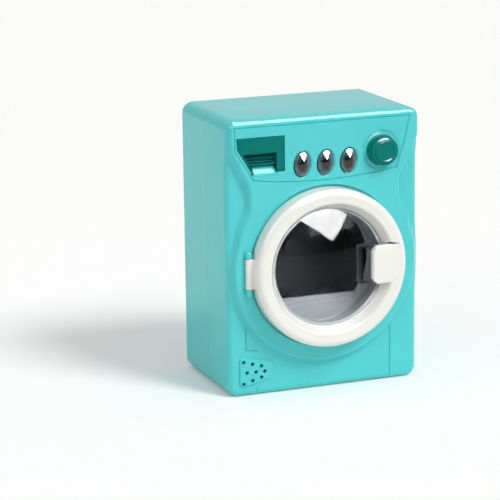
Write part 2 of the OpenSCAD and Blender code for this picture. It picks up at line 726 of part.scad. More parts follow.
// Mouth of the tub: a stepped grey funnel with a flat sill at its foot
funnel_step = 1;
funnel_y = mouth_y + 11;
module tub_mouth() color(grey) {
    difference() {
        union() {
            tube(tub_r, door_hole_r + 0.5, mouth_y, mouth_y + mouth_t, door_at);
            for (p = tub_posts) rod(post_r + 0.4, mouth_y, mouth_y + mouth_t, p);
            for (p = tub_posts) block([min(p[0], p[0] * 0.85), mouth_y, min(p[1], door_z + (p[1] - door_z) * 0.85) - post_r / 2],
                [max(p[0], p[0] * 0.85), mouth_y + mouth_t, max(p[1], door_z + (p[1] - door_z) * 0.85) + post_r / 2]);
        }
        for (p = tub_posts) rod(screw_r + fit_gap, mouth_y - past, mouth_y + mouth_t + past, p);
    }
    turned(door_at) polygon([
        [door_hole_r + 1, mouth_y], [door_hole_r + 1, mouth_y + mouth_t],
        [mouth_r + wall * 0.75, funnel_y], [mouth_r + wall * 0.75, funnel_y + 1.2], [mouth_r, funnel_y + 1.2],
        [mouth_r, funnel_y - 1], [mouth_r + funnel_step, funnel_y - 1 - funnel_step],
        [mouth_r + (door_hole_r - mouth_r) / 2, (mouth_y + funnel_y) / 2],
        [mouth_r + (door_hole_r - mouth_r) / 2 + funnel_step, (mouth_y + funnel_y) / 2 - funnel_step / 2],
        [door_hole_r - funnel_step, mouth_y]]);
    // The sill, with two steps down towards the door
    for (i = [0 : 2]) intersection() {
        rod(mouth_r + wall / 2 + i, funnel_y - (i + 1) * 2, funnel_y + 1.2 - i * 2, door_at);
        block([-mouth_r - wall * 2, funnel_y - (i + 1) * 2, door_z - mouth_r - wall * 2],
            [mouth_r + wall * 2, funnel_y + 1.2 - i * 2, door_z - sill_drop - i * 3]);
    }
}

module sleeve_outline(grow) intersection() {
    circle(r = motor_r + grow);
    square([2 * motor_r + 2 * grow, 2 * motor_r * motor_flat + 2 * grow], center = true);
}
module at_motor(y0, y1) slab(y0, y1) translate(motor_at) rotate(train_angle + 90) children();

// The tub behind, with the motor's sleeve and the gear posts moulded on
module tub() color(charcoal) difference() {
    union() {
        difference() {
            rod(tub_r, mouth_y + mouth_t, plate_back, door_at);
            rod(tub_r - tub_wall + 0.4, mouth_y + mouth_t - past, tub_back, door_at);
        }
        for (p = tub_posts) difference() {
            union() {
                rod(post_r + 0.4, mouth_y + mouth_t, mouth_y + mouth_t + lug_t, p);
                block([min(p[0], p[0] * 0.85), mouth_y + mouth_t, min(p[1], door_z + (p[1] - door_z) * 0.85) - post_r / 2],
                    [max(p[0], p[0] * 0.85), mouth_y + mouth_t + lug_t,
                        max(p[1], door_z + (p[1] - door_z) * 0.85) + post_r / 2]);
            }
            rod(tub_r - tub_wall + 0.4, mouth_y, tub_back, door_at);
        }
        // Shelf for the motor, along the line of the gears
        slab(tub_back, plate_back) translate(door_at) rotate(train_angle)
            translate([tub_r - 12, -motor_r - sleeve_t])
                square([motor_off + bridge_post_off - tub_r + 12, 2 * (motor_r + sleeve_t)]);
        rod(motor_r + sleeve_t + 1.4, tub_back, plate_back, door_at + (motor_off + bridge_post_off) * train);
        at_motor(tub_back - sleeve_l, tub_back) sleeve_outline(sleeve_t + fit_gap);
        for (p = bridge_posts) rod(post_r, tub_back, bridge_y, p);
    }
    at_motor(tub_back - sleeve_l - past, tub_back) sleeve_outline(fit_gap);
    rod(motor_nose_r + fit_gap, tub_back - past, plate_back + past, motor_at);
    rod(bush_r + run_gap, tub_back - past, plate_back + past, door_at);
    rod(idler_pin_r + run_gap / 2, tub_back + skin, plate_back + past, idler_at);
    for (p = tub_posts) rod(screw_r + fit_gap, mouth_y, mouth_y + mouth_t + lug_t + past, p);
    for (p = bridge_posts) rod(screw_r + run_gap, bridge_y - screw_l, bridge_y + past, p);
}

module tub_screws() color(steel) for (p = tub_posts)
    screw(screw_r, tub_screw_l, mouth_y + mouth_t + lug_t, p);

module small_screws() color(steel) {
    for (p = board_posts) screw(screw_r, screw_l, board_y + board_t, p);
    for (p = housing_posts) screw(screw_r, screw_l, housing_y + housing_lug_t, p);
    for (p = speaker_posts) screw(screw_r, speaker_rim_t + retainer_t - fit_gap, y_low_in + speaker_rim_t + retainer_t, p);
    for (p = bridge_posts) screw(screw_r, screw_l, bridge_y + bridge_t, p);
}

// Drum with drain holes and lifters
drum_wall = 1.8;
drum_rim = 5;
hub_r = 7;
hub_h = 4;
lifter_w = 14;
module drum() color(charcoal) difference() {
    union() {
        difference() {
            rod(drum_r, drum_y0, drum_y1, door_at);
            rod(drum_r - drum_wall, drum_y0 + drum_wall, drum_y1 - drum_wall, door_at);
            rod(drum_r - drum_rim, drum_y0 - past, drum_y0 + 2 * drum_wall, door_at);
        }
        rod(hub_r, drum_y1 - drum_wall - hub_h, drum_y1 + hub_h, door_at);
        for (i = [0 : lifters - 1]) translate([0, 0, door_z]) rotate([0, 360 / lifters * i, 0]) translate([0, 0, -door_z])
            intersection() {
                rod(drum_r - drum_wall / 2, drum_y0 + drum_wall / 2, drum_y1 - drum_wall / 2, door_at);
                slab(drum_y0 + drum_wall / 2, drum_y1 - drum_wall / 2)
                    polygon([[-lifter_w / 2, door_z - drum_r], [-lifter_w / 5, door_z - drum_r + drum_wall + lifter_h],
                        [lifter_w / 5, door_z - drum_r + drum_wall + lifter_h], [lifter_w / 2, door_z - drum_r]]);
            }
    }
    rod(shaft_r + run_gap / 2, drum_y1 - drum_wall - hub_h + drum_wall, drum_y1 + hub_h + past, door_at);
    // Drain holes, left out where a lifter stands
    for (row = [0 : hole_rows - 1], i = [0 : row_holes - 1]) {
        turn = 360 / row_holes * (i + (row % 2) / 2);
        off = abs(((turn + 180) % (360 / lifters)) - 0);
        near = min(off, 360 / lifters - off);
        if (near > 12) translate([0, drum_y0 + drum_d * (row + 1) / (hole_rows + 1), door_z]) rotate([0, turn, 0])
            translate([0, 0, drum_r - 2 * drum_wall]) cylinder(r = drain_r, h = 3 * drum_wall);
    }
}

module drum_shaft() color(steel) rod(shaft_r, drum_y1 - hub_h + fit_gap, bridge_y + bridge_t + 1.4, door_at);

module shaft_clip() color(steel) tube(shaft_r + 2, shaft_r + run_gap / 2, bridge_y + bridge_t + fit_gap,
    bridge_y + bridge_t + 1, door_at);

module shaft_bush() color(brass) difference() {
    union() {
        rod(bush_r, tub_back - 0.8, plate_back, door_at);
        rod(bush_flange_r, plate_back, plate_back + bush_flange_t, door_at);
    }
    rod(shaft_r + run_gap, tub_back - 2 * past, plate_back + bush_flange_t + past, door_at);
}

gear_hub_r = 6;
module drum_gear() color(white) difference() {
    union() {
        difference() {
            gear(drum_teeth, train_angle, gear_y, gear_y + gear_t, door_at);
            // Lightening holes in the web
            for (i = [0 : 5]) rod(7, gear_y - past, gear_y + gear_t + past, door_at + 20 * [cos(60 * i), sin(60 * i)]);
        }
        rod(gear_hub_r, plate_back + bush_flange_t + fit_gap, bridge_y - move_gap, door_at);
    }
    rod(shaft_r + run_gap / 2, plate_back, bridge_y, door_at);
}

module idler_gear() color(white) difference() {
    union() {
        gear(idler_small_teeth, train_angle + 180 + 180 / idler_small_teeth, gear_y, large_y, idler_at);
        gear(idler_large_teeth, train_angle, large_y, large_y + large_t, idler_at);
        rod(idler_pin_r + 2, plate_back + fit_gap, bridge_y - move_gap, idler_at);
    }
    rod(idler_pin_r + run_gap, plate_back, bridge_y, idler_at);
}

module idler_pin() color(steel) rod(idler_pin_r, tub_back + fit_gap, bridge_y + bridge_t, idler_at);

// Bridge that carries the far ends of the shaft and the pin
module gear_bridge() color(grey) difference() {
    union() {
        slab(bridge_y, bridge_y + bridge_t) translate(door_at) rotate(train_angle)
            translate([-norm(bridge_posts[0] - door_at), -post_r - 1.6])
                square([norm(bridge_posts[1] - bridge_posts[0]), 2 * (post_r + 1.6)]);
        for (p = bridge_posts) rod(post_r + 2.6, bridge_y, bridge_y + bridge_t, p);
    }
    rod(shaft_r + run_gap, bridge_y - past, bridge_y + bridge_t + past, door_at);
    rod(idler_pin_r + run_gap / 2, bridge_y - past, bridge_y + bridge_t + past, idler_at);
    rod(motor_shaft_r + move_gap, bridge_y - past, bridge_y + bridge_t + past, motor_at);
    for (p = bridge_posts) rod(screw_r + fit_gap, bridge_y - past, bridge_y + bridge_t + past, p);
}

module motor() color(steel) difference() {
    union() {
        at_motor(tub_back - motor_l, tub_back) sleeve_outline(0);
        rod(motor_nose_r, tub_back, tub_back + motor_nose, motor_at);
    }
    rod(motor_shaft_r + run_gap, tub_back - motor_l / 2, tub_back + motor_nose + past, motor_at);
}

module motor_shaft() color(steel) rod(motor_shaft_r, tub_back - motor_l / 2 + fit_gap, bridge_y - move_gap, motor_at);

module motor_pinion() color(white) difference() {
    gear(pinion_teeth, train_angle + 180 + 180 / pinion_teeth, large_y, large_y + large_t, motor_at);
    rod(motor_shaft_r + run_gap / 2, large_y - past, large_y + large_t + past, motor_at);
}

// Door ring: a hollow moulding with a broad roll outside and a dished inner wall down to the window
ring_r = door_od / 2;
ring_y1 = y_plate + recess_t - 0.5;
crest_out = ring_r - ring_roll;
crest_in = window_r + 5.8;
lip_r = window_r + 3.9;
lip_y = y_ring + 2.6;
seat_y = y_ring + window_in;
back_ring_y = seat_y + window_t;
rebate_r = window_r + flange_w + fit_gap;
inner_wall_r = rebate_r + 1.8;
back_ring_r = ring_r - ring_wall - fit_gap;
back_plate_t = 2.8;
back_plate_y = ring_y1 - back_plate_t;
module ring_outline() {
    translate([crest_out, y_ring + ring_roll]) circle(r = ring_roll);
    polygon([[crest_in, y_ring], [crest_out, y_ring], [crest_out, y_ring + ring_roll], [ring_r, y_ring + ring_roll],
        [ring_r, ring_y1], [window_r, ring_y1], [window_r, seat_y - 0.6], [lip_r, lip_y], [lip_r + 0.8, y_ring + 0.8]]);
}
module door_ring() color(white) difference() {
    union() {
        difference() {
            turned(door_at) ring_outline();
            // The hollow between the inner wall and the outer wall
            turned(door_at) polygon([[inner_wall_r, ring_y1 + past], [inner_wall_r, seat_y - 1.2],
                [lip_r + ring_wall, lip_y + 1.2], [crest_in + 1, y_ring + ring_wall], [crest_out, y_ring + ring_wall],
                [ring_r - ring_wall - 0.8, y_ring + ring_roll - 0.6], [ring_r - ring_wall, y_ring + ring_roll + 1.4],
                [ring_r - ring_wall, ring_y1 + past]]);
        }
        for (p = door_posts) rod(door_post_r, y_ring + ring_wall / 2, back_plate_y, p);
        // Foot of the latch
        block([latch_x - latch_foot, y_ring + ring_wall / 2, door_z - latch_h / 2 - latch_foot],
            [latch_x + latch_t + latch_foot, back_plate_y, door_z + latch_h / 2 + latch_foot]);
        upright(knuckle_r, door_z - knuckle_h / 2, door_z + knuckle_h / 2);
        block([hinge_at[0], hinge_at[1] - knuckle_r, door_z - knuckle_h / 2],
            [hinge_at[0] + knuckle_r + 2.6, hinge_at[1] + knuckle_r - fit_gap, door_z + knuckle_h / 2]);
    }
    rod(rebate_r, seat_y, ring_y1 + past, door_at);
    rod(inner_wall_r + 0.5, back_plate_y, ring_y1 + past, door_at);
    upright(pin_r + run_gap, door_z - knuckle_h / 2 - past, door_z + knuckle_h / 2 + past);
    for (p = door_posts) rod(screw_r + run_gap, ring_y1 - head_h - door_screw_l, back_plate_y + past, p);
    // Socket for the latch's foot
    block([latch_x - fit_gap / 2, back_plate_y - latch_socket, door_z - latch_h / 2 - fit_gap / 2],
        [latch_x + latch_t + fit_gap / 2, ring_y1 + past, door_z + latch_h / 2 + fit_gap / 2]);
}

door_screw_l = 7;
door_screw_count = 6;
door_post_r = 2.9;
latch_foot = 1.4;
latch_socket = 4;
door_posts = [for (i = [0 : door_screw_count - 1]) door_at + (inner_wall_r + back_ring_r) / 2
    * [cos(360 * (i + 0.5) / door_screw_count), sin(360 * (i + 0.5) / door_screw_count)]];
plug_l = 4;
module door_back_ring() color(white) difference() {
    turned(door_at) polygon([[window_r - 2.5, back_ring_y], [rebate_r - fit_gap, back_ring_y],
        [rebate_r - fit_gap, back_plate_y], [back_ring_r, back_plate_y], [back_ring_r, ring_y1 - fit_gap],
        [door_hole_r - 2, ring_y1 - fit_gap], [door_hole_r - 2, ring_y1 + plug_l - 1],
        [door_hole_r - 3, ring_y1 + plug_l], [window_r - 1, ring_y1 + plug_l], [window_r - 2.5, ring_y1 + plug_l - 1.5]]);
    for (p = door_posts) {
        rod(screw_r + fit_gap, back_ring_y - past, ring_y1 + past, p);
        rod(head_r + fit_gap, ring_y1 - head_h, ring_y1 + past, p);
    }
    block([latch_x - fit_gap, back_ring_y - past, door_z - latch_h / 2 - fit_gap],
        [latch_x + latch_t + fit_gap, ring_y1 + past, door_z + latch_h / 2 + fit_gap]);
}

module door_screws() color(steel) for (p = door_posts)
    screw(screw_r, door_screw_l, ring_y1 - head_h, p, rise = head_h - fit_gap);

// Window: a shallow dome with a finger pocket under the handle
dome_base = window_r - 0.7;
dome_rise = window_in;
dome_sphere = (dome_base * dome_base + dome_rise * dome_rise) / (2 * dome_rise);
pocket_x0 = handle_in - 6.5;
pocket_x1 = window_r - 7.5;
pocket_half = handle_h / 2 - 2;
pocket_y = y_ring + pocket_t;
module dome(inset) intersection() {
    translate([0, y_ring + dome_sphere, door_z]) sphere(r = dome_sphere - inset, $fn = 128);
    rod(dome_base - inset, y_ring - past, seat_y + window_t, door_at);
}
module door_window() color(clear) difference() {
    union() {
        difference() {
            dome(0);
            dome(window_t);
            rod(dome_base - window_t, seat_y, seat_y + 2 * window_t, door_at);
        }
        intersection() {
            union() {
                dome(0);
                rod(dome_base, seat_y, pocket_y + window_t, door_at);
            }
            block([pocket_x0 - window_t, y_ring, door_z - pocket_half - window_t],
                [pocket_x1 + window_t, pocket_y + window_t, door_z + pocket_half + window_t]);
        }
        tube(window_r + flange_w, dome_base - skin, seat_y, back_ring_y, door_at);
    }
    block([pocket_x0, y_ring - past, door_z - pocket_half], [pocket_x1, pocket_y, door_z + pocket_half]);
}

// Handle: a grip over the pocket, bridging to the door ring
handle_out = ring_r - 3.5;
handle_cut = 4.5;
handle_edge = 1.2;
grip_half = handle_h / 2;
module handle_outline(inset) polygon([
    [handle_in + handle_cut, door_z - grip_half + inset], [handle_out - inset, door_z - grip_half + inset],
    [handle_out - inset, door_z + grip_half - inset], [handle_in + handle_cut, door_z + grip_half - inset],
    [handle_in + inset, door_z + grip_half - handle_cut], [handle_in + inset, door_z - grip_half + handle_cut]]);
module door_handle() color(white) difference() {
    hull() {
        slab(y_front, y_front + skin) handle_outline(handle_edge);
        slab(y_front + handle_edge, y_front + handle_t) handle_outline(0);
    }
    turned(door_at) ring_outline();
}

// Latch: a springy tongue with a nose that catches behind the front wall
latch_nose = 0.9;
module door_latch() color(grey) {
    block([latch_x, back_plate_y - latch_socket + fit_gap, door_z - latch_h / 2],
        [latch_x + latch_t, ring_y1 + latch_reach, door_z + latch_h / 2]);
    translate([latch_x + skin, ring_y1 + latch_reach - 1.4, door_z - latch_h / 2]) cylinder(r = latch_nose, h = latch_h);
}

module hinge_pin() color(steel) upright(pin_r, door_z - knuckle_h / 2 - knuckle_gap - ear_h + 1 + fit_gap,
    door_z + knuckle_h / 2 + knuckle_gap + ear_h - 1 - fit_gap);

// Drawer
pull_x0 = tray_x0 + thin_wall;
pull_x1 = -drawer_x - pull_right;
pull = [[pull_x1, drawer_low - past], [pull_x1 - pull_low_w + 0.6, drawer_low - past],
    [pull_x0, drawer_low + pull_h], [pull_x1, drawer_low + pull_h]];
ledge_r = thin_wall * 1.4;
module drawer_front() color(teal) {
    difference() {
        slab(y_plate + fit_gap, y_plate + fit_gap + front_t) polygon(drawer_outline);
        slab(y_plate - past, y_plate_in + past) polygon(pull);
    }
    // The finger pocket behind the pull's opening
    difference() {
        block([tray_x0, y_plate_in, tray_z0], [pull_x1 + thin_wall, tray_y0, drawer_low + pull_h + thin_wall]);
        block([pull_x0, y_plate - past, tray_z0 + thin_wall], [pull_x1, y_plate + pocket_d, drawer_low + pull_h]);
        slab(y_plate - past, y_plate_in - skin) polygon(pull);
    }
    // A rounded ledge to hook a finger on
    translate([pull_x0 - thin_wall / 2, tray_y0 - ledge_r, drawer_low + pull_h * 0.66]) rotate([0, 90, 0])
        cylinder(r = ledge_r, h = pull_x1 - pull_x0 + thin_wall);
}

module drawer_tray() color(teal) difference() {
    block([tray_x0, tray_y0, tray_z0], [tray_x1, tray_y0 + tray_l, tray_z0 + tray_h]);
    block([tray_x0 + thin_wall, tray_y0 + thin_wall, tray_z0 + thin_wall],
        [tray_x1 - thin_wall, tray_y0 + tray_l - thin_wall, tray_z0 + tray_h + past]);
}

module drawer_housing() color(charcoal) difference() {
    union() {
        block([tray_x0 - move_gap - housing_t, housing_y, tray_z0 - move_gap - housing_t],
            [tray_x1 + move_gap + housing_t, tray_y0 + tray_l + housing_back, tray_z0 + tray_h + 1 + housing_t]);
        for (p = housing_posts) block([p[0] - post_r - 1, housing_y, min(p[1] - post_r, drawer_mid[1])],
            [p[0] + post_r + 1, housing_y + housing_lug_t, max(p[1] + post_r, drawer_mid[1])]);
    }
    block([tray_x0 - move_gap, y_plate, tray_z0 - move_gap],
        [tray_x1 + move_gap, tray_y0 + tray_l + housing_back - housing_t, tray_z0 + tray_h + 1]);
    for (p = housing_posts) rod(screw_r + fit_gap, housing_y - past, housing_y + housing_lug_t + past, p);
}

// Buttons: a smoked lens cap with a flange behind the panel
button_sphere = 22;
module button(x) color(clear) difference() {
    union() {
        intersection() {
            slab(y_plate - button_proud, flange_back) translate([x, button_z]) polygon(oval(button_w, button_h));
            translate([x, y_plate - button_proud + button_sphere, button_z]) sphere(r = button_sphere, $fn = 96);
        }
        slab(flange_back - button_flange_t, flange_back) translate([x, button_z])
            polygon(oval(button_w + 2 * button_rim, button_h + 2 * button_rim));
    }
    intersection() {
        slab(y_plate - button_proud, flange_back - button_flange_t) translate([x, button_z])
            polygon(oval(button_w - 2 * button_wall, button_h - 2 * button_wall));
        translate([x, y_plate - button_proud + button_sphere, button_z])
            sphere(r = button_sphere - button_wall, $fn = 96);
    }
    rod(light_hole_r, flange_back - 2 * button_flange_t, flange_back + past, [x, button_z]);
}
module button_left() button(button_xs[0]);
module button_middle() button(button_xs[1]);
module button_right() button(button_xs[2]);

module spring(x) color(steel) tube(spring_r, spring_r - spring_wire, flange_back, board_y, [x, button_z]);
module spring_left() spring(button_xs[0]);
module spring_middle() spring(button_xs[1]);
module spring_right() spring(button_xs[2]);

module circuit_board() color(green) difference() {
    block([board_x0, board_y, button_z - board_low], [board_x1, board_y + board_t, button_z + board_high]);
    for (p = board_posts) rod(screw_r + fit_gap, board_y - past, board_y + board_t + past, p);
}

module leds() color(amber) for (x = button_xs) {
    rod(led_r, board_y - led_h + led_r, board_y, [x, button_z]);
    translate([x, board_y - led_h + led_r, button_z]) sphere(r = led_r);
}

switch_side = 4.6;
switch_body_h = 3.4;
plunger_r = 1.4;
module press_switches() color(charcoal) for (x = button_xs) {
    at = [x, button_z - switch_off];
    block([at[0] - switch_side / 2, board_y - switch_body_h, at[1] - switch_side / 2],
        [at[0] + switch_side / 2, board_y, at[1] + switch_side / 2]);
    rod(plunger_r, flange_back + button_travel + fit_gap, board_y - switch_body_h + skin, at);
}

chip_r = 6;
chip_h = 2;
module sound_chip() color(charcoal) rod(chip_r, board_y + board_t, board_y + board_t + chip_h,
    [dial_x - 12, button_z + 1]);

// Dial: a stepped knob on a shaft through the panel
dial_step = 1.2;
module dial_knob() color(teal) {
    y0 = y_plate + dish_t - move_gap;
    y1 = y_plate - dial_proud;
    difference() {
        union() {
            turned(dial_at) polygon([[0, y1 + 0.6], [dial_face_r - 1, y1 + 0.6], [dial_face_r, y1], [dial_r - dial_step, y1],
                [dial_r, y1 + dial_step], [dial_r, y0 - dial_skirt - 0.8], [dial_r + dial_skirt, y0 - dial_skirt],
                [dial_r + dial_skirt, y0], [0, y0]]);
            rod(dial_shaft_r, y0 - skin, dial_boss_back + fit_gap, dial_at);
        }
        rod(screw_r + run_gap, dial_boss_back - screw_l, dial_boss_back + past, dial_at);
    }
}

module dial_washer() color(steel) tube(dial_washer_r, screw_r + fit_gap, dial_boss_back + fit_gap,
    dial_boss_back + fit_gap + dial_washer_t, dial_at);

module dial_screw() color(steel) screw(screw_r, screw_l, dial_boss_back + fit_gap + dial_washer_t, dial_at);

// Speaker
magnet_r = 7.5;
magnet_h = 5;
cone_r = 10.5;
module speaker() color(charcoal) difference() {
    union() {
        rod(speaker_r, y_low_in + 0.3, y_low_in + speaker_rim_t, grille_at);
        cone(speaker_r - 2, magnet_r, y_low_in + speaker_rim_t, y_low_in + speaker_rim_t + 3, grille_at);
        rod(magnet_r, y_low_in + speaker_rim_t + 3, y_low_in + speaker_rim_t + 3 + magnet_h, grille_at);
    }
    rod(cone_r + 0.8, y_low_in, y_low_in + speaker_rim_t - 1, grille_at);
}

module speaker_cone() color(grey) turned(grille_at) polygon([[0, y_low_in + 1.8], [cone_r - 4, y_low_in + 1.8],
    [cone_r, y_low_in + 0.6], [cone_r + 0.6, y_low_in + 0.6], [cone_r + 0.6, y_low_in + speaker_rim_t - 1],
    [cone_r - 0.4, y_low_in + speaker_rim_t - 1], [cone_r - 4, y_low_in + 2.6], [0, y_low_in + 2.6]]);

module speaker_retainer() color(steel) difference() {
    union() {
        rod(speaker_r + 0.5, y_low_in + speaker_rim_t, y_low_in + speaker_rim_t + retainer_t, grille_at);
        for (p = speaker_posts) {
            rod(post_r, y_low_in + speaker_rim_t, y_low_in + speaker_rim_t + retainer_t, p);
        }
        slab(y_low_in + speaker_rim_t, y_low_in + speaker_rim_t + retainer_t) translate(grille_at) rotate(135)
            square([2 * speaker_post_at, 2 * post_r - 1], center = true);
    }
    rod(speaker_r - 1.5, y_low_in, y_low_in + 2 * speaker_rim_t, grille_at);
    for (p = speaker_posts) rod(screw_r + fit_gap, y_low_in, y_low_in + 2 * speaker_rim_t, p);
}

module battery_cover() color(aqua) difference() {
    block([bay_x0 - cover_lip + fit_gap, y_back - cover_t, bay_z0 - cover_lip + fit_gap],
        [bay_x1 + cover_tail - fit_gap, y_back, bay_z1 + cover_lip - fit_gap]);
    rod(screw_r + fit_gap, y_back - 2 * cover_t, y_back + past, battery_screw_at);
    rod(head_r + fit_gap, y_back - cover_t / 2, y_back + past, battery_screw_at);
    // Finger grooves
    for (i = [-2 : 2]) block([bay_x0 + 6, y_back - 0.6, (bay_z0 + bay_z1) / 2 + i * 4 - 0.8],
        [bay_x0 + 14, y_back + past, (bay_z0 + bay_z1) / 2 + i * 4 + 0.8]);
}

module battery_screw() color(steel) screw(screw_r, screw_l - cover_t, y_back - cover_t / 2, battery_screw_at,
    rise = cover_t / 2);

nub_r = 2.7;
nub_l = 1;
module batteries() color(charcoal) for (i = [0 : cells - 1]) {
    way = i % 2 == 0 ? 1 : -1;
    y = bay_y0 + bay_gap / 2 + cell_d / 2;
    translate([(bay_x0 + bay_x1) / 2 - way * nub_l / 2, y, cell_zs[i]]) rotate([0, 90, 0])
        cylinder(r = cell_d / 2 - fit_gap, h = cell_l - nub_l, center = true);
    translate([(bay_x0 + bay_x1) / 2 + way * (cell_l - nub_l) / 2, y, cell_zs[i]]) rotate([0, 90, 0])
        cylinder(r = nub_r, h = nub_l, center = true);
}

// Contact plates at both ends of the bay, each with a short spring or button
plate_t = 0.4;
plate_half = 5;
module battery_contacts() color(steel) for (i = [0 : cells - 1], m = [-1, 1]) {
    x = m < 0 ? bay_x0 : bay_x1;
    y = bay_y0 + bay_gap / 2 + cell_d / 2;
    inner = m < 0 ? bay_x0 + plate_t : bay_x1 - plate_t;
    touch = (bay_x0 + bay_x1) / 2 + m * (cell_l / 2 + 0.1);
    block([min(x, inner), y - plate_half, cell_zs[i] - plate_half], [max(x, inner), y + plate_half, cell_zs[i] + plate_half]);
    translate([min(inner, touch), y, cell_zs[i]]) rotate([0, 90, 0]) cylinder(r = nub_r - 0.4, h = abs(inner - touch));
}

module power_switch() color(charcoal) difference() {
    block([switch_at[0] - switch_w / 2, y_back_in - slider_t - switch_d, switch_at[1] - switch_h / 2],
        [switch_at[0] + switch_w / 2, y_back_in, switch_at[1] + switch_h / 2]);
    // The track that the slider runs in
    block([switch_at[0] - switch_w / 2 + 1, y_back_in - slider_t - 2 * move_gap, switch_at[1] - switch_h / 2 + 0.8],
        [switch_at[0] + switch_w / 2 - 1, y_back_in + past, switch_at[1] + switch_h / 2 - 0.8]);
}

module power_slider() color(charcoal) {
    // At rest the switch is off, at the left end of its slot seen from the front
    x = switch_at[0] - switch_travel / 2;
    block([x - knob_w / 2 - 1, y_back_in - slider_t - move_gap, switch_at[1] - switch_h / 2 + 0.8 + move_gap],
        [x + knob_w / 2 + 1, y_back_in - move_gap, switch_at[1] + switch_h / 2 - 0.8 - move_gap]);
    block([x - knob_w / 2, y_back_in - move_gap - skin, switch_at[1] - knob_h / 2],
        [x + knob_w / 2, y_back - 0.2, switch_at[1] + knob_h / 2]);
}

front_casing();
rear_casing();
casing_screws();
tub_mouth();
tub();
tub_screws();
small_screws();
drum();
drum_shaft();
shaft_clip();
shaft_bush();
drum_gear();
idler_gear();
idler_pin();
gear_bridge();
motor();
motor_shaft();
motor_pinion();
door_ring();
door_back_ring();
door_window();
door_handle();
door_latch();
door_screws();
hinge_pin();
drawer_front();
drawer_tray();
drawer_housing();
button_left();
button_middle();
button_right();
spring_left();
spring_middle();
spring_right();
circuit_board();
leds();
press_switches();
sound_chip();
dial_knob();
dial_washer();
dial_screw();
speaker();
speaker_cone();
speaker_retainer();
battery_cover();
battery_screw();
batteries();
battery_contacts();
power_switch();
power_slider();
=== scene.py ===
"""Toy washing machine in aqua plastic, seen from the front left.

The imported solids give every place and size. This script adds the moulded front, the door, the lenses and
their springs, the dial, the drawer front and the finishes. Lengths are in millimetres until a mesh is made.
"""
import json
import math

import bmesh
import bpy
import numpy as np
from mathutils import Matrix, Quaternion, Vector


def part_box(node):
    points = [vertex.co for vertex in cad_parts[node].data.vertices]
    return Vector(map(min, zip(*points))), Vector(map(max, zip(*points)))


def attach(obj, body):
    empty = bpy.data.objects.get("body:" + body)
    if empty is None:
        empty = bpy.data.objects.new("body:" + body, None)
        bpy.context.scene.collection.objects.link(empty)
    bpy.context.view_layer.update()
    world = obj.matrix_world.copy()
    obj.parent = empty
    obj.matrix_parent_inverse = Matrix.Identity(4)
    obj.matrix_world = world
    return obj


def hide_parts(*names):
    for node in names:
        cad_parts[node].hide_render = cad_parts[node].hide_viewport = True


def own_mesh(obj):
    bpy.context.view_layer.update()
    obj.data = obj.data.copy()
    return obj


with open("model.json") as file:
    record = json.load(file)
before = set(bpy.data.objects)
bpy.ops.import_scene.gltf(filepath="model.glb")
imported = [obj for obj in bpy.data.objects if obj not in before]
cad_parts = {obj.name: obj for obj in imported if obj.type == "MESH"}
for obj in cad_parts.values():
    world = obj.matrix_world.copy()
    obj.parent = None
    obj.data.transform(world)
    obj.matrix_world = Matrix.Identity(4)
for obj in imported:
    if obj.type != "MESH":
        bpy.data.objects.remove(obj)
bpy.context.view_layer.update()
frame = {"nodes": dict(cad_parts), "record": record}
nodes = frame["nodes"]
MM = 0.001


def box_mm(node):
    """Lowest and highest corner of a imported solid, in millimetres."""
    low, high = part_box(node)
    return low / MM, high / MM


# Planes and centres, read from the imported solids
shell_high = box_mm("front_casing")[1]
rear_low = box_mm("rear_casing")[0]
ring_low, ring_high = box_mm("door_ring")
drawer_low, drawer_high = box_mm("drawer_front")
handle_low, handle_high = box_mm("door_handle")
pin_low, pin_high = box_mm("hinge_pin")
BODY_HALF = shell_high.x
BODY_H = shell_high.z
CORNER_R = 9.0
EDGE_R = 5.0
WALL = 2.4
RELIEF_H = 6.0
PLATE_Y = drawer_low.y - 0.2
LOW_Y = PLATE_Y + RELIEF_H
LIP_H = 3.0
SPLIT_Y = rear_low.y + LIP_H
RING_Y = ring_low.y
RING_R = ring_high.x
DOOR_Z = (ring_low.z + ring_high.z) / 2
DOOR = (0.0, DOOR_Z)
PANEL_H = BODY_H - DOOR_Z - RING_R

# The raised front
PANEL_HALF = BODY_HALF - 3.0
WAIST_HALF = BODY_HALF - 18.5
COLLAR_R = 76.5
BEVEL_W = 4.0
PANEL_LOW = BODY_H - 0.41 * PANEL_H
WAIST_TOP = BODY_H - 0.95 * PANEL_H
WAIST_LOW = DOOR_Z + 49.0
MOUTH_Y = PLATE_Y + 10.5
RIM_CHAMFER = 0.35
FAN_HOLE_R = 1.5
SEAM_W = 1.0
SEAM_T = 0.8
RELIEF_EDGE_R = 2.2
COLLAR_BLEND = 5.0
RING_ROOM = 1.5
KICK_X = 57.5
KICK_JOG = 9.0

# The door
WINDOW_R = 47.5
WINDOW_T = 1.6
FLANGE_R = 51.1
REBATE_R = 51.3
DOOR_HOLE_R = 51.0
DOME_RISE = 9.5
DOME_BASE = WINDOW_R - 0.7
DOME_R = (DOME_BASE ** 2 + DOME_RISE ** 2) / (2 * DOME_RISE)
SEAT_Y = RING_Y + 9.5
RING_BACK = PLATE_Y + 0.5
HINGE = ((pin_low.x + pin_high.x) / 2, (pin_low.y + pin_high.y) / 2)
KNUCKLE_R = 2.6
KNUCKLE_HALF = 12.0
KNUCKLE_GAP = 0.3
EAR_H = 5.0
PIN_BORE_R = 1.05

